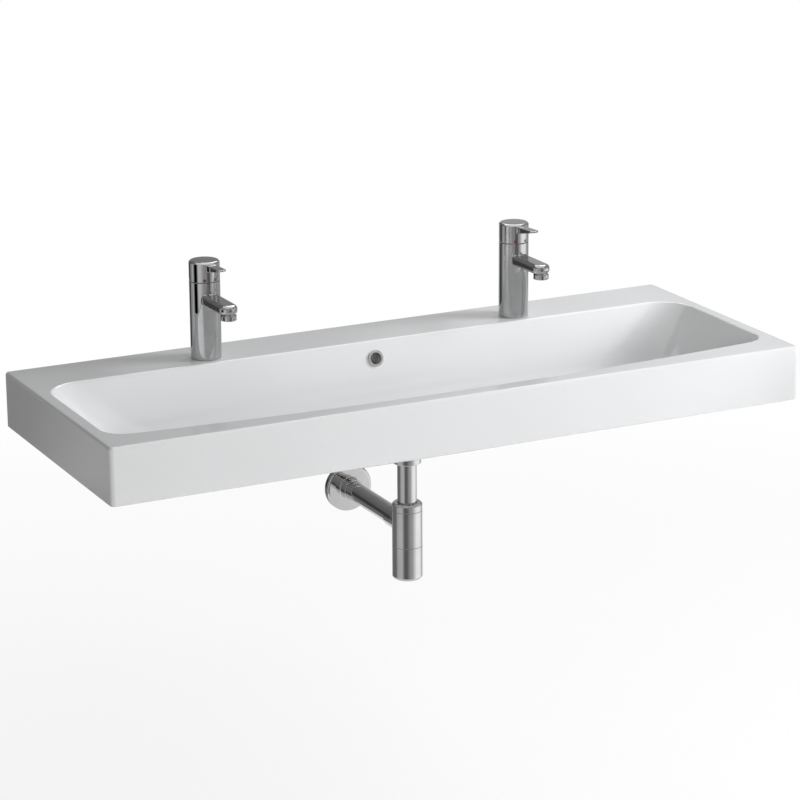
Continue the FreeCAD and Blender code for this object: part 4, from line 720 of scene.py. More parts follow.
def rim_round_rings(b, steps=9):
    """Round between the level deck and the bowl wall.

    At each point of the edge it is the arc that touches the deck and the
    wall's own slope; its reach is the radius times the tangent of half the
    turn between them.
    """
    edge = bowl_rings(b, 0.0, 0.0, b.rim)[0]
    sample = 0.002
    below = bowl_rings(b, sample, 0.0, b.rim - sample)[0]
    out = plan_normals(edge)
    lean = -np.einsum("ij,ij->i", below - edge, out)[:, None] / sample
    down = -lean * out + np.array([0, 0, -1.0])
    down /= np.linalg.norm(down, axis=1, keepdims=True)
    turn = np.pi - np.arccos(np.clip(np.einsum("ij,ij->i", out, down), -1, 1))[:, None]
    reach = b.rim_round * np.tan(turn / 2)
    weight = np.cos(turn / 2)
    rings = []
    for t in np.linspace(0, 1, steps):
        top = (1 - t) ** 2 * (edge + reach * out) + 2 * weight * t * (1 - t) * edge
        top = top + t ** 2 * (edge + reach * down)
        rings.append(top / ((1 - t) ** 2 + 2 * weight * t * (1 - t) + t ** 2))
    return np.stack(rings)


def wall_depths(b):
    """Depths of the wall's rings: even down to the round, then even by its angle."""
    angle = math.atan(b.end_lean)
    straight = b.floor - b.end_blend * (1 - math.sin(angle))
    turn = np.linspace(np.pi / 2 - angle, 0, 22)
    return np.concatenate([np.linspace(0.009, straight, 8)[:-1], b.floor - b.end_blend * (1 - np.cos(turn))])


def eased_rings(first, last, steps):
    """Rings from one to another; the level parts meet both without a crease.

    Plan positions go evenly from first to last while the height follows
    3 s^2 - 2 s^3.
    """
    s = np.linspace(0, 1, steps + 1)[1:, None, None]
    rings = first[None] * (1 - s) + last[None] * s
    ease = (3 * s ** 2 - 2 * s ** 3)[..., 0]
    rings[..., 2] = first[None, :, 2] * (1 - ease) + last[None, :, 2] * ease
    return rings


def circle_rings(b, guide, profile):
    """Rings round the drain: each point keeps the bearing of the guide ring."""
    bearing = np.arctan2(guide[:, 1] + b.drain_back, guide[:, 0])
    radius, height = profile[:, :1], profile[:, 1:]
    x = radius * np.cos(bearing)
    y = -b.drain_back + radius * np.sin(bearing)
    return np.stack(np.broadcast_arrays(x, y, height), axis=-1)


def flat_ring(b, grow, height):
    """Outline of the level spot round the drain."""
    return outline(b.flat_half + grow, -b.drain_back + b.flat_behind + grow,
                   -b.drain_back - b.flat_before - grow, b.flat_corner, b.flat_corner, 0.9, height)[0]


def drain_height(b):
    """Height of the level spot round the drain."""
    return b.rim - b.floor - b.fall


def boss_low(b):
    """Height of the foot of the thick ring below the drain."""
    return drain_height(b) - b.shell - BOSS_DROP


def drain_rings(b, guide):
    """Seat of the waste, drain hole and boss, as rings about the drain's axis."""
    level, foot = drain_height(b), boss_low(b)
    seat, skin = level - b.recess_depth, level - b.shell - 0.0005
    corners = [(b.recess + 0.006, level), (b.recess, level), (b.recess, seat), (b.drain_hole, seat),
               (b.drain_hole, foot), (b.boss, foot), (b.boss, skin), (b.boss + 0.012, skin)]
    rounds = [0, 0.0014, 0.0005, 0.0008, 0.001, 0.003, 0.006, 0]
    return circle_rings(b, guide, rounded(corners, rounds, 5, closed=False))


def skin_rings(b, depths):
    """Outer skin of the bowl, from its low end up to the deck's underside.

    It is the bowl's wall moved outwards by the shell, with its depths
    stretched so that its floor lies one shell below the bowl's.
    """
    stretch = (b.floor + b.shell) / b.floor
    depths = depths[::-1]
    depths = depths[b.rim - depths * stretch < b.rim - b.shell - 0.003]
    depths = np.append(depths, b.shell / stretch)
    return bowl_rings(b, depths, b.shell, b.rim - depths * stretch)


def hollow_rings(b, inset, height):
    """Rings of the open underside, moved inwards by an inset."""
    half, back, front = b.half_width - b.apron_wall, -b.apron_wall, -b.depth + b.apron_wall
    corner = b.cavity_corner
    return outline(half - inset, back - inset, front + inset, corner, corner, STRAIGHT, height)


def apron_rings(b):
    """Top and low edge of the hollow, foot, outside face and edge of the deck.

    Each round is a quarter circle: one way it moves by radius (1 - sin a),
    the other way by radius (1 - cos a).
    """
    low, ceiling = b.rim - b.apron, b.rim - b.shell
    cove, lip, foot, top = 0.004, 0.002, b.foot_round, b.rim_round
    angle = np.linspace(0, np.pi / 2, 7)
    by_sine, by_cosine = 1 - np.sin(angle), 1 - np.cos(angle)
    return [
        hollow_rings(b, cove * by_sine, ceiling - cove * by_cosine),
        hollow_rings(b, -lip * by_cosine, low + lip * by_sine),
        outer_rings(b, foot * by_sine, low + foot * by_cosine),
        outer_rings(b, np.zeros(3), np.linspace(low + foot, b.rim - top, 5)[1:-1]),
        outer_rings(b, top * by_cosine, b.rim - top * by_sine),
    ]


def basin_shell(b):
    """The whole basin as one loop of rings round the drain hole.

    Rim round, bowl wall, floor, drain seat and hole, boss, outer skin of the
    bowl, deck underside, hollow, foot, outside face, deck edge, deck.
    """
    depths = wall_depths(b)
    wall = bowl_rings(b, depths, 0.0, b.rim - depths)
    floor = eased_rings(wall[-1], flat_ring(b, 0.0, drain_height(b)), 14)
    skin = skin_rings(b, depths)
    skin_flat = flat_ring(b, b.shell, drain_height(b) - b.shell)
    skin_floor = eased_rings(skin_flat, skin[0], 8)[:-1]
    rings = [rim_round_rings(b), wall, floor, drain_rings(b, floor[-1]), skin_flat[None], skin_floor, skin,
             *apron_rings(b)]
    return shell_from_rings(np.concatenate(rings), closed=True)


def block_shell(low, high, radius, per_corner=8, steps=5):
    """Upright block with round upright edges and slightly round ends.

    Each corner of its plan is a quarter circle about its own centre, and the
    rings at both ends move inwards by a quarter round.
    """
    low, high = np.array(low), np.array(high)
    angle = np.linspace(0, np.pi / 2, steps)
    end = 0.002
    inset = np.concatenate([end * (1 - np.sin(angle)), end * (1 - np.cos(angle))])
    height = np.concatenate([low[2] + end * (1 - np.cos(angle)), high[2] - end * (1 - np.sin(angle))])
    quarter = np.repeat(np.arange(4), per_corner)
    turn = (quarter + np.tile(np.linspace(0, 1, per_corner), 4)) * np.pi / 2
    sign = np.array([[1, -1, -1, 1], [1, 1, -1, -1]])[:, quarter]
    half, middle = (high - low)[:2] / 2, (high + low)[:2] / 2
    reach = (radius - inset)[:, None]
    x = middle[0] + sign[0] * (half[0] - radius) + reach * np.cos(turn)
    y = middle[1] + sign[1] * (half[1] - radius) + reach * np.sin(turn)
    return shell_from_rings(np.stack(np.broadcast_arrays(x, y, height[:, None]), axis=-1))


def overflow_place(b):
    """+Z of a turned shape looks out of the bowl's back wall at the overflow."""
    inset = b.back_lean * b.overflow_below
    tilt = math.radians(90) - math.atan(b.back_lean)
    return at(0, -b.bowl_back - inset, b.rim - b.overflow_below) @ Matrix.Rotation(tilt, 4, "X")


def duct_shell(b):
    """Upright casing of the overflow duct.

    Its back is a plane; its front follows the middle of the bowl's back wall,
    so the front y is the wall's own y at each height plus half its thickness.
    """
    height = np.linspace(boss_low(b), b.rim - b.shell / 2, 24)
    depth = np.minimum(b.rim - height, b.floor * 0.9)
    front = -b.bowl_back - wall_inset(depth, b.back_lean, b.side_blend, b.floor) + b.shell / 2
    back = np.full(len(height), -b.duct_back)
    radius = 0.004
    angle = np.linspace(0, np.pi / 2, 7)
    across = b.duct_half - radius
    x = np.concatenate([across + radius * np.sin(angle), across + radius * np.cos(angle)])
    at_front = np.repeat([False, True], len(angle))
    lift = np.concatenate([radius * (1 - np.cos(angle)), radius * (1 - np.sin(angle))])
    y_right = np.where(at_front, front[:, None] + lift, back[:, None] - lift)
    x = np.concatenate([x, -x[::-1]])
    y = np.concatenate([y_right, y_right[:, ::-1]], axis=1)
    return shell_from_rings(np.stack(np.broadcast_arrays(x, y, height[:, None]), axis=-1))


class BuildBasin(bpy.types.Operator):
    """Glazed basin: one closed surface from the rim through the bowl to the foot"""
    bl_idname = "washbasin.basin"
    bl_label = "Basin"

    def execute(self, context):
        b, t = context.scene.washbasin.basin, context.scene.washbasin.tap
        piece = add_piece("basin_glazed", [basin_shell(b)], "glaze", "basin_unit", "basin")
        duct = duct_shell(b)
        foot, level = boss_low(b), drain_height(b)
        run = block_shell((-b.duct_half, -b.drain_back, foot),
                          (b.duct_half, -b.bowl_back, level - b.shell / 2), 0.004)
        shaft_half, shaft_back, shaft_front, shaft_top = 0.018, 0.088, 0.104, 0.041
        shaft = block_shell((-shaft_half, -shaft_front, level - b.shell - 0.014),
                            (shaft_half, -shaft_back, shaft_top), 0.003)
        tap_hole = drill(t.hole, -DRILL_REACH, DRILL_REACH, 64)
        bolt_hole = drill(BOLT_HOLE, -DRILL_REACH, DRILL_REACH, 48)
        holes = []
        for side in (-1, 1):
            holes.append(placed(tap_hole, at(side * t.spacing / 2, -t.setback, b.rim)))
            holes.append(placed(bolt_hole, lying(side * BOLT_OFFSET, 0, 0)))
        holes.append(placed(drill(b.drain_hole, foot - 0.002, level, 64), at(0, -b.drain_back, 0)))
        mouth = placed(drill(b.overflow_hole, -0.022, 0.01, 64), overflow_place(b))
        carved(piece, [("UNION", [duct]), ("UNION", [run]), ("DIFFERENCE", holes), ("DIFFERENCE", [shaft]),
                       ("DIFFERENCE", [mouth])])
        return {"FINISHED"}


class BuildOverflowRing(bpy.types.Operator):
    """Chromed ring of the overflow, tilted with the bowl's back wall"""
    bl_idname = "washbasin.overflow_ring"
    bl_label = "Overflow ring"

    def execute(self, context):
        bore, neck, flange = 0.0095, 0.0109, 0.01375
        end, seat, face = -0.010, 0.0001, 0.0025
        ring = turned([(neck, end), (neck, seat), (flange, seat), (flange, face), (bore, face), (bore, end)],
                      [0.0003, 0.0001, 0.0004, 0.0014, 0.0008, 0.0003], 96, 7)
        place = overflow_place(context.scene.washbasin.basin)
        add_piece("overflow_trim", [placed(ring, place)], "chrome", "basin_unit", "overflow_ring")
        return {"FINISHED"}


# Waste and trap

CLEARANCE = 0.0003          # between a pipe and the nut that turns round it
SLIDE = 0.00005             # between the wall pipe and what slides on it
SEAM = 0.0003               # visible joint between two chromed pieces
PIPE_BORE = 0.0148          # inner radius of both pipes
NUT_HEIGHT = 0.013          # of the bottle's upper nut
BOTTLE_BELOW_ARM = 0.034    # from the arm's axis to the lower end of the bottle's tube
SPIGOT_RADIUS = 0.0178      # of the outlet stub where it leaves the bottle


def span_of(node, axis):
    """Where a CAD node starts and ends along an axis."""
    low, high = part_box(node)
    return low[axis], high[axis]


class BuildPlug(bpy.types.Operator):
    """Push plug: slightly crowned chromed disc on its stem"""
    bl_idname = "washbasin.plug"
    bl_label = "Plug"

    def execute(self, context):
        foot, top = span_of("waste_plug", 2)
        seal_top = span_of("plug_seal", 2)[1]
        stem, groove_in, groove_out, disc = 0.004, 0.0195, 0.0235, 0.0305
        under = top - 0.004
        corners = [(0, foot), (stem, foot), (stem, under), (groove_in, under), (groove_in, seal_top),
                   (groove_out, seal_top), (groove_out, under), (disc, under), (disc, top - 0.0008),
                   (0.012, top - 0.0001), (0, top)]
        plug = turned(corners, [0, 0.0008, 0.0005, 0, 0, 0, 0, 0.0005, 0.0016, 0.02, 0], 128, 6)
        axis = at(0, -context.scene.washbasin.basin.drain_back, 0)
        add_piece("push_plug", [placed(plug, axis)], "chrome", "plug", "waste_plug")
        return {"FINISHED"}


def union_nut_shell(s):
    """Nut that holds the pipe's flange against the waste."""
    low, top = span_of("union_nut", 2)
    bore, thread, outside, web = s.pipe + CLEARANCE, 0.02105, 0.0235, 0.0025
    corners = [(bore, low), (outside, low), (outside, top), (thread, top), (thread, low + web),
               (bore, low + web)]
    return turned(corners, [0.0004, 0.0014, 0.0014, 0.0004, 0, 0.0003], 128)


def tailpipe_shell(s):
    """Upright pipe with its flange."""
    low, top = span_of("tailpipe", 2)
    flange, under = 0.020, top - 0.002
    corners = [(PIPE_BORE, low), (s.pipe, low), (s.pipe, under), (flange, under), (flange, top),
               (PIPE_BORE, top)]
    return turned(corners, [0.0003, 0.0003, 0.0005, 0.0003, 0.0003, 0.0003], 112)


def upper_nut_shell(s):
    """Nut on the bottle's neck, bevelled round its top."""
    low, under = s.top - NUT_HEIGHT, s.top - 0.003
    bore, thread, bevel = s.pipe + CLEARANCE, 0.02205, 0.0028
    corners = [(bore, under), (bore, s.top), (s.radius - bevel, s.top), (s.radius, s.top - bevel),
               (s.radius, low), (thread, low), (thread, under)]
    return turned(corners, [0.0002, 0.0006, 0.001, 0.0009, 0.0004, 0.0003, 0], 128)


def bottle_shell(s):
    """Tube of the bottle: threaded neck at its top, socket of the cup at its bottom."""
    top, low = s.top - NUT_HEIGHT - SEAM, s.arm - BOTTLE_BELOW_ARM
    mouth, neck_in, neck_out, neck_top = 0.0178, 0.0202, 0.022, top + 0.0063
    bore, socket, socket_top, shoulder = 0.0204, 0.0226, low + 0.0127, top - 0.003
    corners = [(mouth, top), (neck_in, top), (neck_in, neck_top), (neck_out, neck_top), (neck_out, top),
               (s.radius, top), (s.radius, low), (socket, low), (socket, socket_top), (bore, socket_top),
               (bore, shoulder), (mouth, shoulder)]
    return turned(corners, [0, 0, 0.0003, 0.0003, 0, 0.0004, 0.0004, 0.0003, 0, 0, 0, 0], 128)


def spigot_shell(s):
    """Outlet stub of the bottle, stepped down to the wall pipe's radius."""
    root, step, tip = 0.015, s.radius + 0.003, s.radius + 0.017
    bore, bore_end = 0.0135, 0.016
    corners = [(0, root), (SPIGOT_RADIUS, root), (SPIGOT_RADIUS, step), (s.pipe, step), (s.pipe, tip),
               (bore, tip), (bore, bore_end), (0, bore_end)]
    return turned(corners, [0, 0, 0.0005, 0, 0.0003, 0.0003, 0, 0], 96)


def spigot_weld(s):
    """Fillet between the outlet stub and the bottle."""
    angle = np.arange(96) * 2 * np.pi / 96
    normal = np.stack([np.cos(angle), np.sin(angle)], axis=1)
    section = np.stack([SPIGOT_RADIUS * np.cos(angle), s.arm + SPIGOT_RADIUS * np.sin(angle)], axis=1)
    return junction_shell(section, normal, s.radius, 0.0022, 1)


def cup_shell(s):
    """Cleaning cup whose neck goes up into the bottle's socket."""
    top = s.arm - BOTTLE_BELOW_ARM - SEAM
    neck_top, neck_out, neck_in = top + 0.011, 0.0224, 0.0204
    inside, shoulder, base = 0.0232, top - 0.003, s.bottom + 0.003
    corners = [(0, s.bottom), (s.radius, s.bottom), (s.radius, top), (neck_out, top), (neck_out, neck_top),
               (neck_in, neck_top), (neck_in, top), (inside, shoulder), (inside, base), (0, base)]
    return turned(corners, [0, 0.005, 0.0004, 0, 0.0003, 0.0003, 0, 0, 0.003, 0], 128, 9)


class BuildTrap(bpy.types.Operator):
    """Chromed pipe, nuts, bottle and cup below the drain"""
    bl_idname = "washbasin.trap"
    bl_label = "Bottle trap"

    def execute(self, context):
        b, s = context.scene.washbasin.basin, context.scene.washbasin.trap
        axis = at(0, -b.drain_back, 0)
        bottle = [placed(bottle_shell(s), axis), placed(spigot_shell(s), lying(0, -b.drain_back, s.arm)),
                  placed(spigot_weld(s), axis)]
        pieces = [
            ("waste_union_nut", [placed(union_nut_shell(s), axis)], "basin_unit", "union_nut"),
            ("waste_tailpipe", [placed(tailpipe_shell(s), axis)], "basin_unit", "tailpipe"),
            ("trap_upper_nut", [placed(upper_nut_shell(s), axis)], "basin_unit", "trap_top_nut"),
            ("trap_bottle", bottle, "basin_unit", "trap_body"),
            ("trap_cup_shell", [placed(cup_shell(s), axis)], "cup", "trap_cup"),
        ]
        for name, shells, body, node in pieces:
            add_piece(name, shells, "chrome", body, node)
        return {"FINISHED"}


def outlet_nut_shell(s):
    """Nut on the outlet stub, along the wall pipe."""
    near, far = span_of("outlet_nut", 1)
    bore, outside = s.pipe + SLIDE, 0.0178
    corners = [(bore, near), (outside, near), (outside, far), (bore, far)]
    return turned(corners, [0.0002, 0.0005, 0.0009, 0.0003], 112)


def wall_pipe_shell(s):
    """Pipe to the wall, with the groove that marks how far it goes in."""
    near, far = span_of("wall_pipe", 1)
    groove, start, end = s.pipe - 0.0004, 0.006, 0.0075
    corners = [(PIPE_BORE, near), (s.pipe, near), (s.pipe, start), (groove, start), (groove, end),
               (s.pipe, end), (s.pipe, far), (PIPE_BORE, far)]
    return turned(corners, [0.0003, 0.0003, 0, 0, 0, 0, 0.0004, 0.0003], 112)


def cover_dish_shell(s):
    """Dish that is open to the wall, with a collar round the pipe."""
    bore, collar, rim, inside = s.pipe + SLIDE, 0.0185, s.rosette, s.rosette - 0.0015
    collar_end, face, face_inside, edge = -0.032, -0.013, -0.0115, -0.00075
    corners = [(bore, collar_end), (collar, collar_end), (collar, face), (rim, face), (rim, edge),
               (inside, edge), (inside, face_inside), (bore, face_inside)]
    return turned(corners, [0.0003, 0.0008, 0.0016, 0.0042, 0.0004, 0.0003, 0.002, 0], 144, 8)


class BuildWallPipe(bpy.types.Operator):
    """Nut, pipe and cover dish between the trap and the wall"""
    bl_idname = "washbasin.wall_pipe"
    bl_label = "Wall pipe"

    def execute(self, context):
        s = context.scene.washbasin.trap
        arm = lying(0, 0, s.arm)
        add_piece("arm_nut", [placed(outlet_nut_shell(s), arm)], "chrome", "basin_unit", "outlet_nut")
        add_piece("arm_pipe", [placed(wall_pipe_shell(s), arm)], "chrome", "basin_unit", "wall_pipe")
        add_piece("wall_cover_dish", [placed(cover_dish_shell(s), arm)], "chrome", "rosette", "wall_rosette")
        return {"FINISHED"}


# Taps

def arm_shell(half, nose, heel, low, high, edge, around=96, steps=7):
    """Flat arm that points to -Y, round at its nose and along its edges.

    Each ring is the plan outline of the arm moved inwards by a share of the
    edge radius: two straight sides, a half circle at the nose and a straight
    heel. Its height is the arm's lower or upper face at that y plus the
    matching rise of the edge round.
    """
    angle = np.linspace(0, np.pi / 2, steps)
    drop, rise = edge * (1 - np.sin(angle)), edge * (1 - np.cos(angle))
    width = (half - np.concatenate([drop, rise]))[:, None]
    along, across = np.linspace(0, 1, 16)[:-1], np.linspace(-1, 1, 9)[:-1]
    turn = np.linspace(0, np.pi, around // 2)
    side, heel_line = np.ones(len(along)), np.full(len(across), heel)
    x = np.concatenate([side, np.cos(turn), -side, across]) * width
    y = np.concatenate([heel + (nose - heel) * along, np.full(len(turn), nose), nose + (heel - nose) * along,
                        heel_line])
    bulge = np.concatenate([0 * along, np.sin(turn), 0 * along, 0 * across])
    y = y - bulge * width
    z = np.concatenate([low(y[:steps]) + rise[:, None], high(y[steps:]) - drop[:, None]])
    return shell_from_rings(np.stack([x, y, z], axis=-1))


def box_section(half, low, high, edge, per_corner=10, per_side=10):
    """Rounded rectangle in x and z with its outward normals."""
    corners = [(half, high, 0), (-half, high, 1), (-half, low, 2), (half, low, 3)]
    points, normals = [], []
    for index, (x, z, quarter) in enumerate(corners):
        angle = quarter * np.pi / 2 + np.linspace(0, np.pi / 2, per_corner)
        normal = np.stack([np.cos(angle), np.sin(angle)], axis=1)
        centre = np.array([x - math.copysign(edge, x), z - edge if quarter < 2 else z + edge])
        points.append(centre + edge * normal)
        normals.append(normal)
        following = corners[(index + 1) % 4]
        turn = (quarter + 1) * np.pi / 2
        ahead = np.array([math.cos(turn), math.sin(turn)])
        start = points[-1][-1]
        next_centre = np.array([following[0] - math.copysign(edge, following[0]),
                                following[1] - edge if following[2] < 2 else following[1] + edge])
        end = next_centre + edge * ahead
        t = np.linspace(0, 1, per_side + 2)[1:-1, None]
        points.append(start + (end - start) * t)
        normals.append(np.repeat(ahead[None], per_side, axis=0))
    return np.concatenate(points), np.concatenate(normals)


def junction_shell(section, normal, radius, fillet, direction, steps=7):
    """Fillet ring where an arm leaves an upright cylinder.

    A ball of the fillet radius rolls round the arm's section: its centre lies
    the fillet radius outside the section and outside the cylinder. Between its
    two touching points the surface is the ball's arc; the loop is closed by a
    point inside the arm.
    """
    centre_x = section[:, 0] + fillet * normal[:, 0]
    centre_z = section[:, 1] + fillet * normal[:, 1]
    centre_y = direction * np.sqrt((radius + fillet) ** 2 - centre_x ** 2)
    centre = np.stack([centre_x, centre_y, centre_z], axis=1)
    to_arm = np.stack([-normal[:, 0], np.zeros(len(section)), -normal[:, 1]], axis=1)
    to_body = np.stack([-centre_x, -centre_y, np.zeros(len(section))], axis=1) / (radius + fillet)
    spread = np.arccos(np.clip(np.einsum("ij,ij->i", to_arm, to_body), -1, 1))[:, None]
    rings = []
    for t in np.linspace(0, 1, steps):
        mix = (np.sin((1 - t) * spread) * to_arm + np.sin(t * spread) * to_body) / np.sin(spread)
        rings.append(centre + fillet * mix)
    hidden = np.stack([section[:, 0], centre_y, section[:, 1]], axis=1)
    hidden = hidden + 0.5 * fillet * to_arm
    hidden[:, 1] -= direction * 2.0 * fillet
    rings.append(hidden)
    return shell_from_rings(np.stack(rings), closed=True)


def sloped(height, rise, start, end):
    """Height of a face that rises evenly between two distances in front of the axis."""
    return lambda y: height + rise * (-y - start) / (end - start)


def tap_place(settings, side):
    """Where a tap stands: its axis at the deck."""
    sign = -1 if side == "left" else 1
    return at(sign * settings.tap.spacing / 2, -settings.tap.setback, settings.basin.rim)


def tap_column(t):
    """Upright body with the stepped seat of the cartridge in its top and a hollow foot."""
    seat, seat_low, collar, collar_low = 0.0176, 0.106, 0.0202, 0.118
    foot, foot_bore, foot_ceiling = 0.0004, 0.016, 0.074
    corners = [(0, seat_low), (seat, seat_low), (seat, collar_low), (collar, collar_low),
               (collar, t.body_top), (t.radius, t.body_top), (t.radius, foot), (foot_bore, foot),
               (foot_bore, foot_ceiling), (0, foot_ceiling)]
    return turned(corners, [0, 0, 0, 0, 0.0004, 0.0007, 0.0006, 0.0005, 0, 0], 144)


def spout_shells(t):
    """Flat spout and the fillet where it leaves the body."""
    root, heel, fillet = 0.021, -0.012, 0.0014
    under, under_rise, top, top_rise = 0.090, 0.0035, 0.109, 0.0005
    low = sloped(under, under_rise, 0, t.spout_reach)
    high = sloped(top, top_rise, 0, t.spout_reach)
    spout = arm_shell(t.spout_half, -t.spout_reach + t.spout_half, heel, low, high, t.spout_edge, 96, 9)
    section, normal = box_section(t.spout_half, low(-root), high(-root), t.spout_edge)
    return [spout, junction_shell(section, normal, t.radius, fillet, -1)]


def foot_columns():
    """Posts in the hollow foot: two with a hose thread and a solid one for the stud."""
    radius, bore, low, top = 0.0078, 0.0046, 0.008, 0.0745
    hose_x, hose_y, stud_y = 0.008, 0.0035, -0.011
    threaded = turned([(bore, low), (radius, low), (radius, top), (bore, top)], 0.0003, 40)
    solid = turned([(0, low), (radius, low), (radius, top), (0, top)], 0.0003, 40)
    return [placed(threaded, at(-hose_x, hose_y, 0)), placed(threaded, at(hose_x, hose_y, 0)),
            placed(solid, at(0, stud_y, 0))]


class BuildTapBodies(bpy.types.Operator):
    """Upright tap bodies with their spouts"""
    bl_idname = "washbasin.tap_bodies"
    bl_label = "Tap bodies"

    def execute(self, context):
        settings = context.scene.washbasin
        shells = [tap_column(settings.tap), *spout_shells(settings.tap), *foot_columns()]
        for side in SIDES:
            place = tap_place(settings, side)
            add_piece(side + "_tap_column", [placed(shell, place) for shell in shells], "chrome",
                      "basin_unit", side + "_tap_body")
        return {"FINISHED"}


class BuildAerators(bpy.types.Operator):
    """Aerator shells under the spouts"""
    bl_idname = "washbasin.aerators"
    bl_label = "Aerators"

    def execute(self, context):
        settings = context.scene.washbasin
        t = settings.tap
        low, lip, shoulder, top = t.aerator_low, t.aerator_low + 0.001, 0.0926, 0.099
        mouth, bore, thread = 0.0082, 0.0088, 0.0104
        corners = [(mouth, low), (t.aerator_radius, low), (t.aerator_radius, shoulder), (thread, shoulder),
                   (thread, top), (bore, top), (bore, lip), (mouth, lip)]
        shell = turned(corners, [0.0002, 0.0007, 0.0005, 0, 0.0002, 0.0002, 0, 0], 96)
        for side in SIDES:
            place = tap_place(settings, side) @ at(0, -t.aerator_reach, 0)
            add_piece(side + "_aerator_ring", [placed(shell, place)], "chrome", "basin_unit",
                      side + "_aerator_shell")
        return {"FINISHED"}


def cap_shell(t, relief=math.tan(math.radians(19.0)), relief_start=0.002, around=144):
    """Lever cap: flat-topped cup that is open below.

    Outside it is a turned profile. The lower edge is level in front and rises
    behind the relief start by the relief slope, so that the cap clears the
    body when it tips. Inside is a sphere cut level at its top.
    """
    angle = np.arange(around) * 2 * np.pi / around
    cos, sin = np.cos(angle), np.sin(angle)
    r, crown_edge, crown_drop, bevel = t.radius, 0.0228, 0.0014, 0.0005
    sphere, ceiling = 0.0215, 0.0185

    def edge_height(y):
        """Height of the lower edge at a distance behind the axis."""
        return t.cap_low + np.maximum(0, (y - relief_start) * relief)

    corners = [(0, t.cap_top), (crown_edge, t.cap_top - crown_drop), (r, t.cap_side), (r, t.cap_side - 0.01)]
    top = rounded(corners, [0, 0.003, 0.0012, 0], 6, closed=False)[1:-1]
    rings = [np.stack(np.broadcast_arrays(p[0] * cos, p[0] * sin, p[1]), axis=-1) for p in top]
    outer_low = edge_height(r * sin)
    for s in np.linspace(0, 1, 6)[1:]:
        height = (t.cap_side - 0.003) * (1 - s) + (outer_low + bevel) * s
        rings.append(np.stack([r * cos, r * sin, height], axis=-1))
    for turn in np.linspace(0, np.pi / 2, 5)[1:]:
        radius = r - bevel * (1 - np.cos(turn))
        rings.append(np.stack([radius * cos, radius * sin, outer_low + bevel * (1 - np.sin(turn))], axis=-1))
    inner = np.full(around, sphere)
    for _ in range(8):
        inner = np.sqrt(sphere ** 2 - (edge_height(inner * sin) - t.pivot) ** 2)
    start = edge_height(inner * sin)
    for s in np.linspace(0, 1, 14):
        height = (start - t.pivot) * (1 - s) + ceiling * s
        radius = np.sqrt(sphere ** 2 - height ** 2)
        rings.append(np.stack([radius * cos, radius * sin, height + t.pivot], axis=-1))
    points, faces, fans = shell_from_rings(np.stack(rings))
    points[-2] = (0, 0, t.cap_top)
    points[-1] = (0, 0, t.pivot + ceiling)
    return points, faces, fans


class BuildLevers(bpy.types.Operator):
    """Lever caps: cup, blade and its fillet, with the hole of the grub screw"""
    bl_idname = "washbasin.levers"
    bl_label = "Levers"

    def execute(self, context):
        settings = context.scene.washbasin
        t = settings.tap
        edge, root, heel, fillet, screw, screw_height = 0.0013, 0.024, -0.019, 0.0008, 0.00255, 0.1515
        start, under, under_rise, top, top_rise = 0.018, 0.1456, 0.0126, 0.1583, 0.0029
        low = sloped(under, under_rise, start, t.lever_reach)
        high = sloped(top, top_rise, start, t.lever_reach)
        blade = arm_shell(t.lever_half, -t.lever_reach + t.lever_half, heel, low, high, edge, 72, 6)
        section, normal = box_section(t.lever_half, low(-root), high(-root), edge)
        weld = junction_shell(section, normal, t.radius, fillet, -1)
        hole = drill(screw, 0.013, 0.04, 40)
        for side in SIDES:
            place = tap_place(settings, side)
            piece = add_piece(side + "_lever", [placed(cap_shell(t), place)], "chrome", side + "_handle",
                              side + "_lever_cap")
            carved(piece, [("DIFFERENCE", [placed(hole, place @ lying(0, 0, screw_height))])])
            joined(piece, [placed(shell, place) for shell in (blade, weld)])
        return {"FINISHED"}


class FinishFrame(bpy.types.Operator):
    """Gives every carried-over CAD node the finish of its slot"""
    bl_idname = "washbasin.finish_frame"
    bl_label = "Seals, cartridges and fixings"

    def execute(self, context):
        for part in frame["record"]["subparts"]:
            node = frame["nodes"][part["node"]]
            node.data.materials.clear()
            node.data.materials.append(finish_for(part["material_slot"]))
        return {"FINISHED"}


# Studio

WORLD_LEVEL = 0.26          # world's light on the part; rays that see the world get 1
FLOOR_HALF = 30.0           # half the width of the floor
SCREEN_GAIN = 2.0           # brightness that white stands for in the bands
SCREEN_FOOT = 1.05          # radius of the screen at the floor
SCREEN_RADIUS = 2.0         # radius from the shoulder up
SCREEN_SHOULDER = -0.35     # height of the shoulder
SCREEN_Y = -0.2             # where the screen's upright axis stands
LOW_CHANGE = (-0.54, -0.50)     # heights where the trap's painted reflection bands change to the taps' bands
HIGH_CHANGE = (0.06, 0.12)      # heights where the taps' painted reflection bands change to the deck's bands
CAMERA_TARGET = Vector((-0.01692, -0.240, -0.00975))
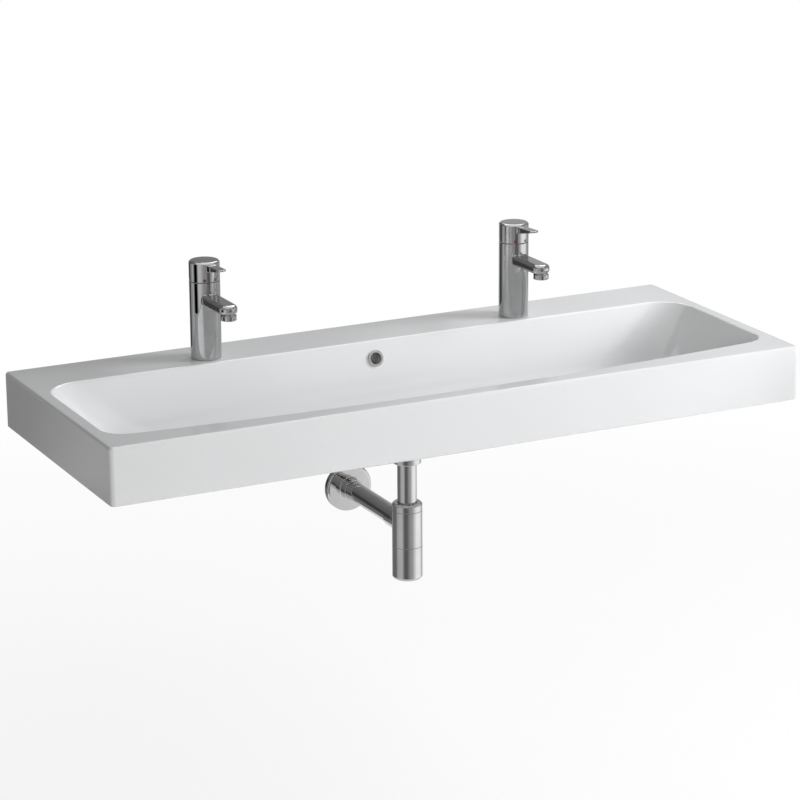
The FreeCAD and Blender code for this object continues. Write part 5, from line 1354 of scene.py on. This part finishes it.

# Painted reflection bands of the glowing screen as (start, end, brightness), with
# even shades between neighbours. Start and end are shares of a turn from -X through -Y and +X.
TRAP_REFLECTION_BANDS = [
    (0.00, 0.07, 0.68),
    (0.12, 0.175, 0.17),
    (0.25, 0.28, 0.50),
    (0.38, 0.48, 1.45),
    (0.53, 0.65, 0.75),
    (0.80, 0.92, 0.22),
    (0.97, 1.00, 0.62),
]
TAP_REFLECTION_BANDS = [
    (0.00, 0.012, 0.00),
    (0.04, 0.08, 0.78),
    (0.15, 0.21, 0.38),
    (0.225, 0.28, 0.15),
    (0.30, 0.33, 0.55),
    (0.38, 0.46, 1.35),
    (0.52, 0.76, 0.45),
    (0.79, 0.85, 0.07),
    (0.865, 0.90, 0.40),
    (0.92, 0.93, 0.66),
    (0.965, 1.00, 0.00),
]
DECK_REFLECTION_BANDS = [
    (0.00, 0.02, 0.38),
    (0.10, 0.14, 0.48),
    (0.25, 0.295, 0.29),
    (0.31, 0.335, 0.80),
    (0.35, 0.50, 0.33),
    (0.64, 0.675, 0.46),
    (0.69, 0.71, 0.29),
    (0.73, 0.76, 0.23),
    (0.84, 0.86, 0.15),
    (0.95, 1.00, 0.38),
]

# Lamps as (name, place, aimed at, size, power, tint).
LAMPS = [
    ("key_softbox", (2.2, -1.0, 1.0), (0.2, -0.3, 0.0), (1.0, 1.0), 56.0, (0.98, 0.995, 1.01)),
    ("front_softbox", (0.2, -2.8, 0.4), (0.0, -0.3, 0.0), (1.4, 1.0), 18.0, (1.0, 0.995, 0.99)),
    ("left_softbox", (-1.2, -2.6, 1.0), (0.0, -0.3, 0.0), (1.2, 1.0), 6.0, (1.0, 0.99, 0.985)),
    ("back_softbox", (0.8, 1.0, 1.6), (0.2, -0.3, 0.0), (1.4, 0.8), 12.0, (1.0, 1.0, 1.0)),
]


def add_lamp(name, position, target, size, power, tint):
    """Rectangular lamp that is turned to its target."""
    light = bpy.data.lights.new(name, "AREA")
    light.shape = "RECTANGLE"
    light.size, light.size_y = size
    light.energy = power
    light.color = tint
    lamp = bpy.data.objects.new(name, light)
    lamp.location = position
    lamp.rotation_euler = (Vector(target) - Vector(position)).to_track_quat("-Z", "Y").to_euler()
    bpy.context.collection.objects.link(lamp)


def seen_mask(nodes, links):
    """1 for camera, glossy and transmission rays, else 0."""
    path = nodes.new("ShaderNodeLightPath")
    seen = path.outputs["Is Camera Ray"]
    for ray in ("Is Glossy Ray", "Is Transmission Ray"):
        either = nodes.new("ShaderNodeMath")
        either.operation = "MAXIMUM"
        links.new(seen, either.inputs[0])
        links.new(path.outputs[ray], either.inputs[1])
        seen = either.outputs[0]
    return seen


def hide_from(item, rays):
    """Makes an object invisible to some kinds of rays."""
    for ray in rays:
        setattr(item, "visible_" + ray, False)


class BuildStudio(bpy.types.Operator):
    """Floor, soft lamps, glowing screen of painted reflections, net, world and camera"""
    bl_idname = "washbasin.studio"
    bl_label = "Studio"

    def execute(self, context):
        scene = context.scene
        s = scene.washbasin.studio
        scene.view_settings.view_transform = "Standard"
        self.floor(s)
        self.screen(s)
        self.scrim()
        self.world(scene)
        for lamp in LAMPS:
            add_lamp(*lamp)
        self.camera(scene, s)
        return {"FINISHED"}

    def floor(self, s):
        """White paper floor that glows evenly for rays that see it from far away."""
        corners = [(x * FLOOR_HALF, y * FLOOR_HALF, s.floor) for x, y in ((-1, -1), (1, -1), (1, 1), (-1, 1))]
        mesh = bpy.data.meshes.new("studio_floor")
        mesh.from_pydata(corners, [], [(0, 1, 2, 3)])
        w = Wiring("floor_paper")
        tone = w.span(w.noise(6.0, 4.0), 0.0, 1.0)
        w.paint(w.blend(tone, (0.86, 0.86, 0.86), (0.89, 0.89, 0.89)))
        w.fix(Roughness=0.9)
        glow = w.add("ShaderNodeEmission")
        glow.inputs["Strength"].default_value = 1.0
        mix = w.add("ShaderNodeMixShader")
        distance = w.add("ShaderNodeVectorMath", operation="LENGTH")
        w.join(w.place, distance.inputs[0])
        far = w.span(distance.outputs["Value"], 0.80, 1.0, 0.8, 2.6)
        w.join(w.math("MULTIPLY", seen_mask(w.nodes, w.links), far), mix.inputs["Fac"])
        w.join(w.shader.outputs[0], mix.inputs[1])
        w.join(glow.outputs[0], mix.inputs[2])
        w.join(mix.outputs[0], w.nodes["Material Output"].inputs["Surface"])
        mesh.materials.append(w.material)
        add_object("studio_floor", mesh)

    def screen(self, s):
        """Round glowing screen of painted reflections: dark and bright bands that only reflections see.

        It widens evenly from its foot to its shoulder and is upright above it.
        Three rows of painted reflection bands, one above the other, set what the trap,
        the taps and the deck mirror.
        """
        around = 96
        angle = np.arange(around) * 2 * np.pi / around
        foot = s.floor + 0.01
        heights = np.array([foot, -0.60, SCREEN_SHOULDER, 0.4, 1.2, 2.4])[:, None]
        radius = np.interp(heights, [foot, SCREEN_SHOULDER], [SCREEN_FOOT, SCREEN_RADIUS])
        x, y, z = np.broadcast_arrays(radius * np.cos(angle), SCREEN_Y + radius * np.sin(angle), heights)
        rings = np.stack([x, y, z], axis=-1)
        mesh = bpy.data.meshes.new("studio_screen")
        mesh.from_pydata(rings.reshape(-1, 3).tolist(), [], grid_faces(len(heights), around, False).tolist())
        w = Wiring("reflection_screen_glow")
        centre = w.add("ShaderNodeMapping")
        centre.inputs["Location"].default_value = (0.0, -SCREEN_Y, 0.0)
        w.join(w.place, centre.inputs["Vector"])
        bearing = w.add("ShaderNodeTexGradient", gradient_type="RADIAL")
        w.join(centre.outputs["Vector"], bearing.inputs["Vector"])
        low = self.band(w, bearing, TRAP_REFLECTION_BANDS)
        middle = self.band(w, bearing, TAP_REFLECTION_BANDS)
        high = self.band(w, bearing, DECK_REFLECTION_BANDS)
        reflection_bands = w.blend(w.span(w.axis("Z"), 0.0, 1.0, *LOW_CHANGE), low, middle)
        reflection_bands = w.blend(w.span(w.axis("Z"), 0.0, 1.0, *HIGH_CHANGE), reflection_bands, high)
        # The screen glows only to paint the reflections in the chrome and the glaze; it lights nothing.
        glow = w.add("ShaderNodeEmission")
        w.join(reflection_bands, glow.inputs["Color"])
        glow.inputs["Strength"].default_value = SCREEN_GAIN
        w.join(glow.outputs[0], w.nodes["Material Output"].inputs["Surface"])
        mesh.materials.append(w.material)
        screen = add_object("studio_screen", mesh)
        hide_from(screen, ("camera", "diffuse", "transmission", "volume_scatter", "shadow"))

    def band(self, w, bearing, reflection_bands):
        """One row of the screen: the brightness of its painted reflection bands by bearing."""
        ramp = w.add("ShaderNodeValToRGB")
        w.join(bearing.outputs["Fac"], ramp.inputs["Fac"])
        stops = [(edge, level) for start, end, level in reflection_bands for edge in (start, end)]
        points = ramp.color_ramp.elements
        points[0].position, points[1].position = stops[0][0], stops[-1][0]
        between = [points.new(position) for position, _ in stops[1:-1]]
        for point, (_, level) in zip([points[0], *between, points[-1]], stops):
            point.color = (*[level / SCREEN_GAIN] * 3, 1)
        return ramp.outputs["Color"]

    def scrim(self):
        """Net that holds back most of the key light from the right end. Only shadow rays meet it."""
        x, front, back, low, high = 0.70, -0.56, 0.30, -0.30, 0.108
        corners = [(x, front, low), (x, back, low), (x, back, high), (x, front, high)]
        mesh = bpy.data.meshes.new("studio_scrim")
        mesh.from_pydata(corners, [], [(0, 1, 2, 3)])
        w = Wiring("scrim_net")
        net = w.add("ShaderNodeBsdfTransparent")
        net.inputs["Color"].default_value = (0.40, 0.40, 0.40, 1.0)
        w.join(net.outputs[0], w.nodes["Material Output"].inputs["Surface"])
        mesh.materials.append(w.material)
        scrim = add_object("studio_scrim", mesh)
        hide_from(scrim, ("camera", "diffuse", "glossy", "transmission", "volume_scatter"))

    def world(self, scene):
        """White world that is dimmer for the light on the part than for rays that see it."""
        world = bpy.data.worlds.new("studio")
        scene.world = world
        world.use_nodes = True
        nodes, links = world.node_tree.nodes, world.node_tree.links
        background = nodes["Background"]
        background.inputs["Color"].default_value = (1, 1, 1, 1)
        level = nodes.new("ShaderNodeMapRange")
        level.inputs["To Min"].default_value = WORLD_LEVEL
        level.inputs["To Max"].default_value = 1.0
        links.new(seen_mask(nodes, links), level.inputs["Value"])
        links.new(level.outputs["Result"], background.inputs["Strength"])

    def camera(self, scene, s):
        """Camera of the photo, given by two angles, a roll and its distance from a target."""
        data = bpy.data.cameras.new("camera")
        data.sensor_width = 36.0
        data.lens = s.lens
        camera = bpy.data.objects.new("camera", data)
        bpy.context.collection.objects.link(camera)
        az, el, roll = (math.radians(v) for v in (s.azimuth, s.elevation, s.roll))
        back = Vector((math.sin(az) * math.cos(el), -math.cos(az) * math.cos(el), math.sin(el)))
        right = (-back).cross(Vector((0, 0, 1))).normalized()
        up = right.cross(-back)
        turned_right = right * math.cos(roll) + up * math.sin(roll)
        turned_up = -right * math.sin(roll) + up * math.cos(roll)
        rotation = Matrix((turned_right, turned_up, back)).transposed()
        camera.matrix_world = Matrix.Translation(CAMERA_TARGET + back * s.distance) @ rotation.to_4x4()
        scene.camera = camera


class WashbasinPanel(bpy.types.Panel):
    """Steps that build the washbasin, and its sizes"""
    bl_idname = "VIEW3D_PT_washbasin"
    bl_label = "Washbasin"
    bl_space_type = "VIEW_3D"
    bl_region_type = "UI"
    bl_category = "Washbasin"

    def draw(self, context):
        """One button per step and one box per group of sizes."""
        layout = self.layout
        settings = context.scene.washbasin
        for step in STEPS:
            layout.operator(step.bl_idname)
        for group in (settings.finish, settings.basin, settings.tap, settings.trap, settings.studio):
            box = layout.box()
            for key in group.__annotations__:
                box.prop(group, key)


STEPS = (FinishFrame, BuildBasin, BuildOverflowRing, BuildPlug, BuildTrap, BuildWallPipe, BuildTapBodies,
         BuildAerators, BuildLevers, BuildStudio)
GROUPS = (BasinSizes, TapSizes, TrapSizes, Finishes, StudioSettings, WashbasinSettings)


def register():
    """Adds the settings, the steps and the panel."""
    for kind in (*GROUPS, *STEPS, WashbasinPanel):
        bpy.utils.register_class(kind)
    bpy.types.Scene.washbasin = PointerProperty(type=WashbasinSettings)


def unregister():
    """Takes away what register adds."""
    del bpy.types.Scene.washbasin
    for kind in reversed((*GROUPS, *STEPS, WashbasinPanel)):
        bpy.utils.unregister_class(kind)


def main():
    """Builds the washbasin and its studio."""
    register()
    bpy.ops.washbasin.finish_frame()
    bpy.ops.washbasin.basin()
    bpy.ops.washbasin.overflow_ring()
    bpy.ops.washbasin.plug()
    bpy.ops.washbasin.trap()
    bpy.ops.washbasin.wall_pipe()
    bpy.ops.washbasin.tap_bodies()
    bpy.ops.washbasin.aerators()
    bpy.ops.washbasin.levers()
    bpy.ops.washbasin.studio()


if __name__ == "__main__":
    main()
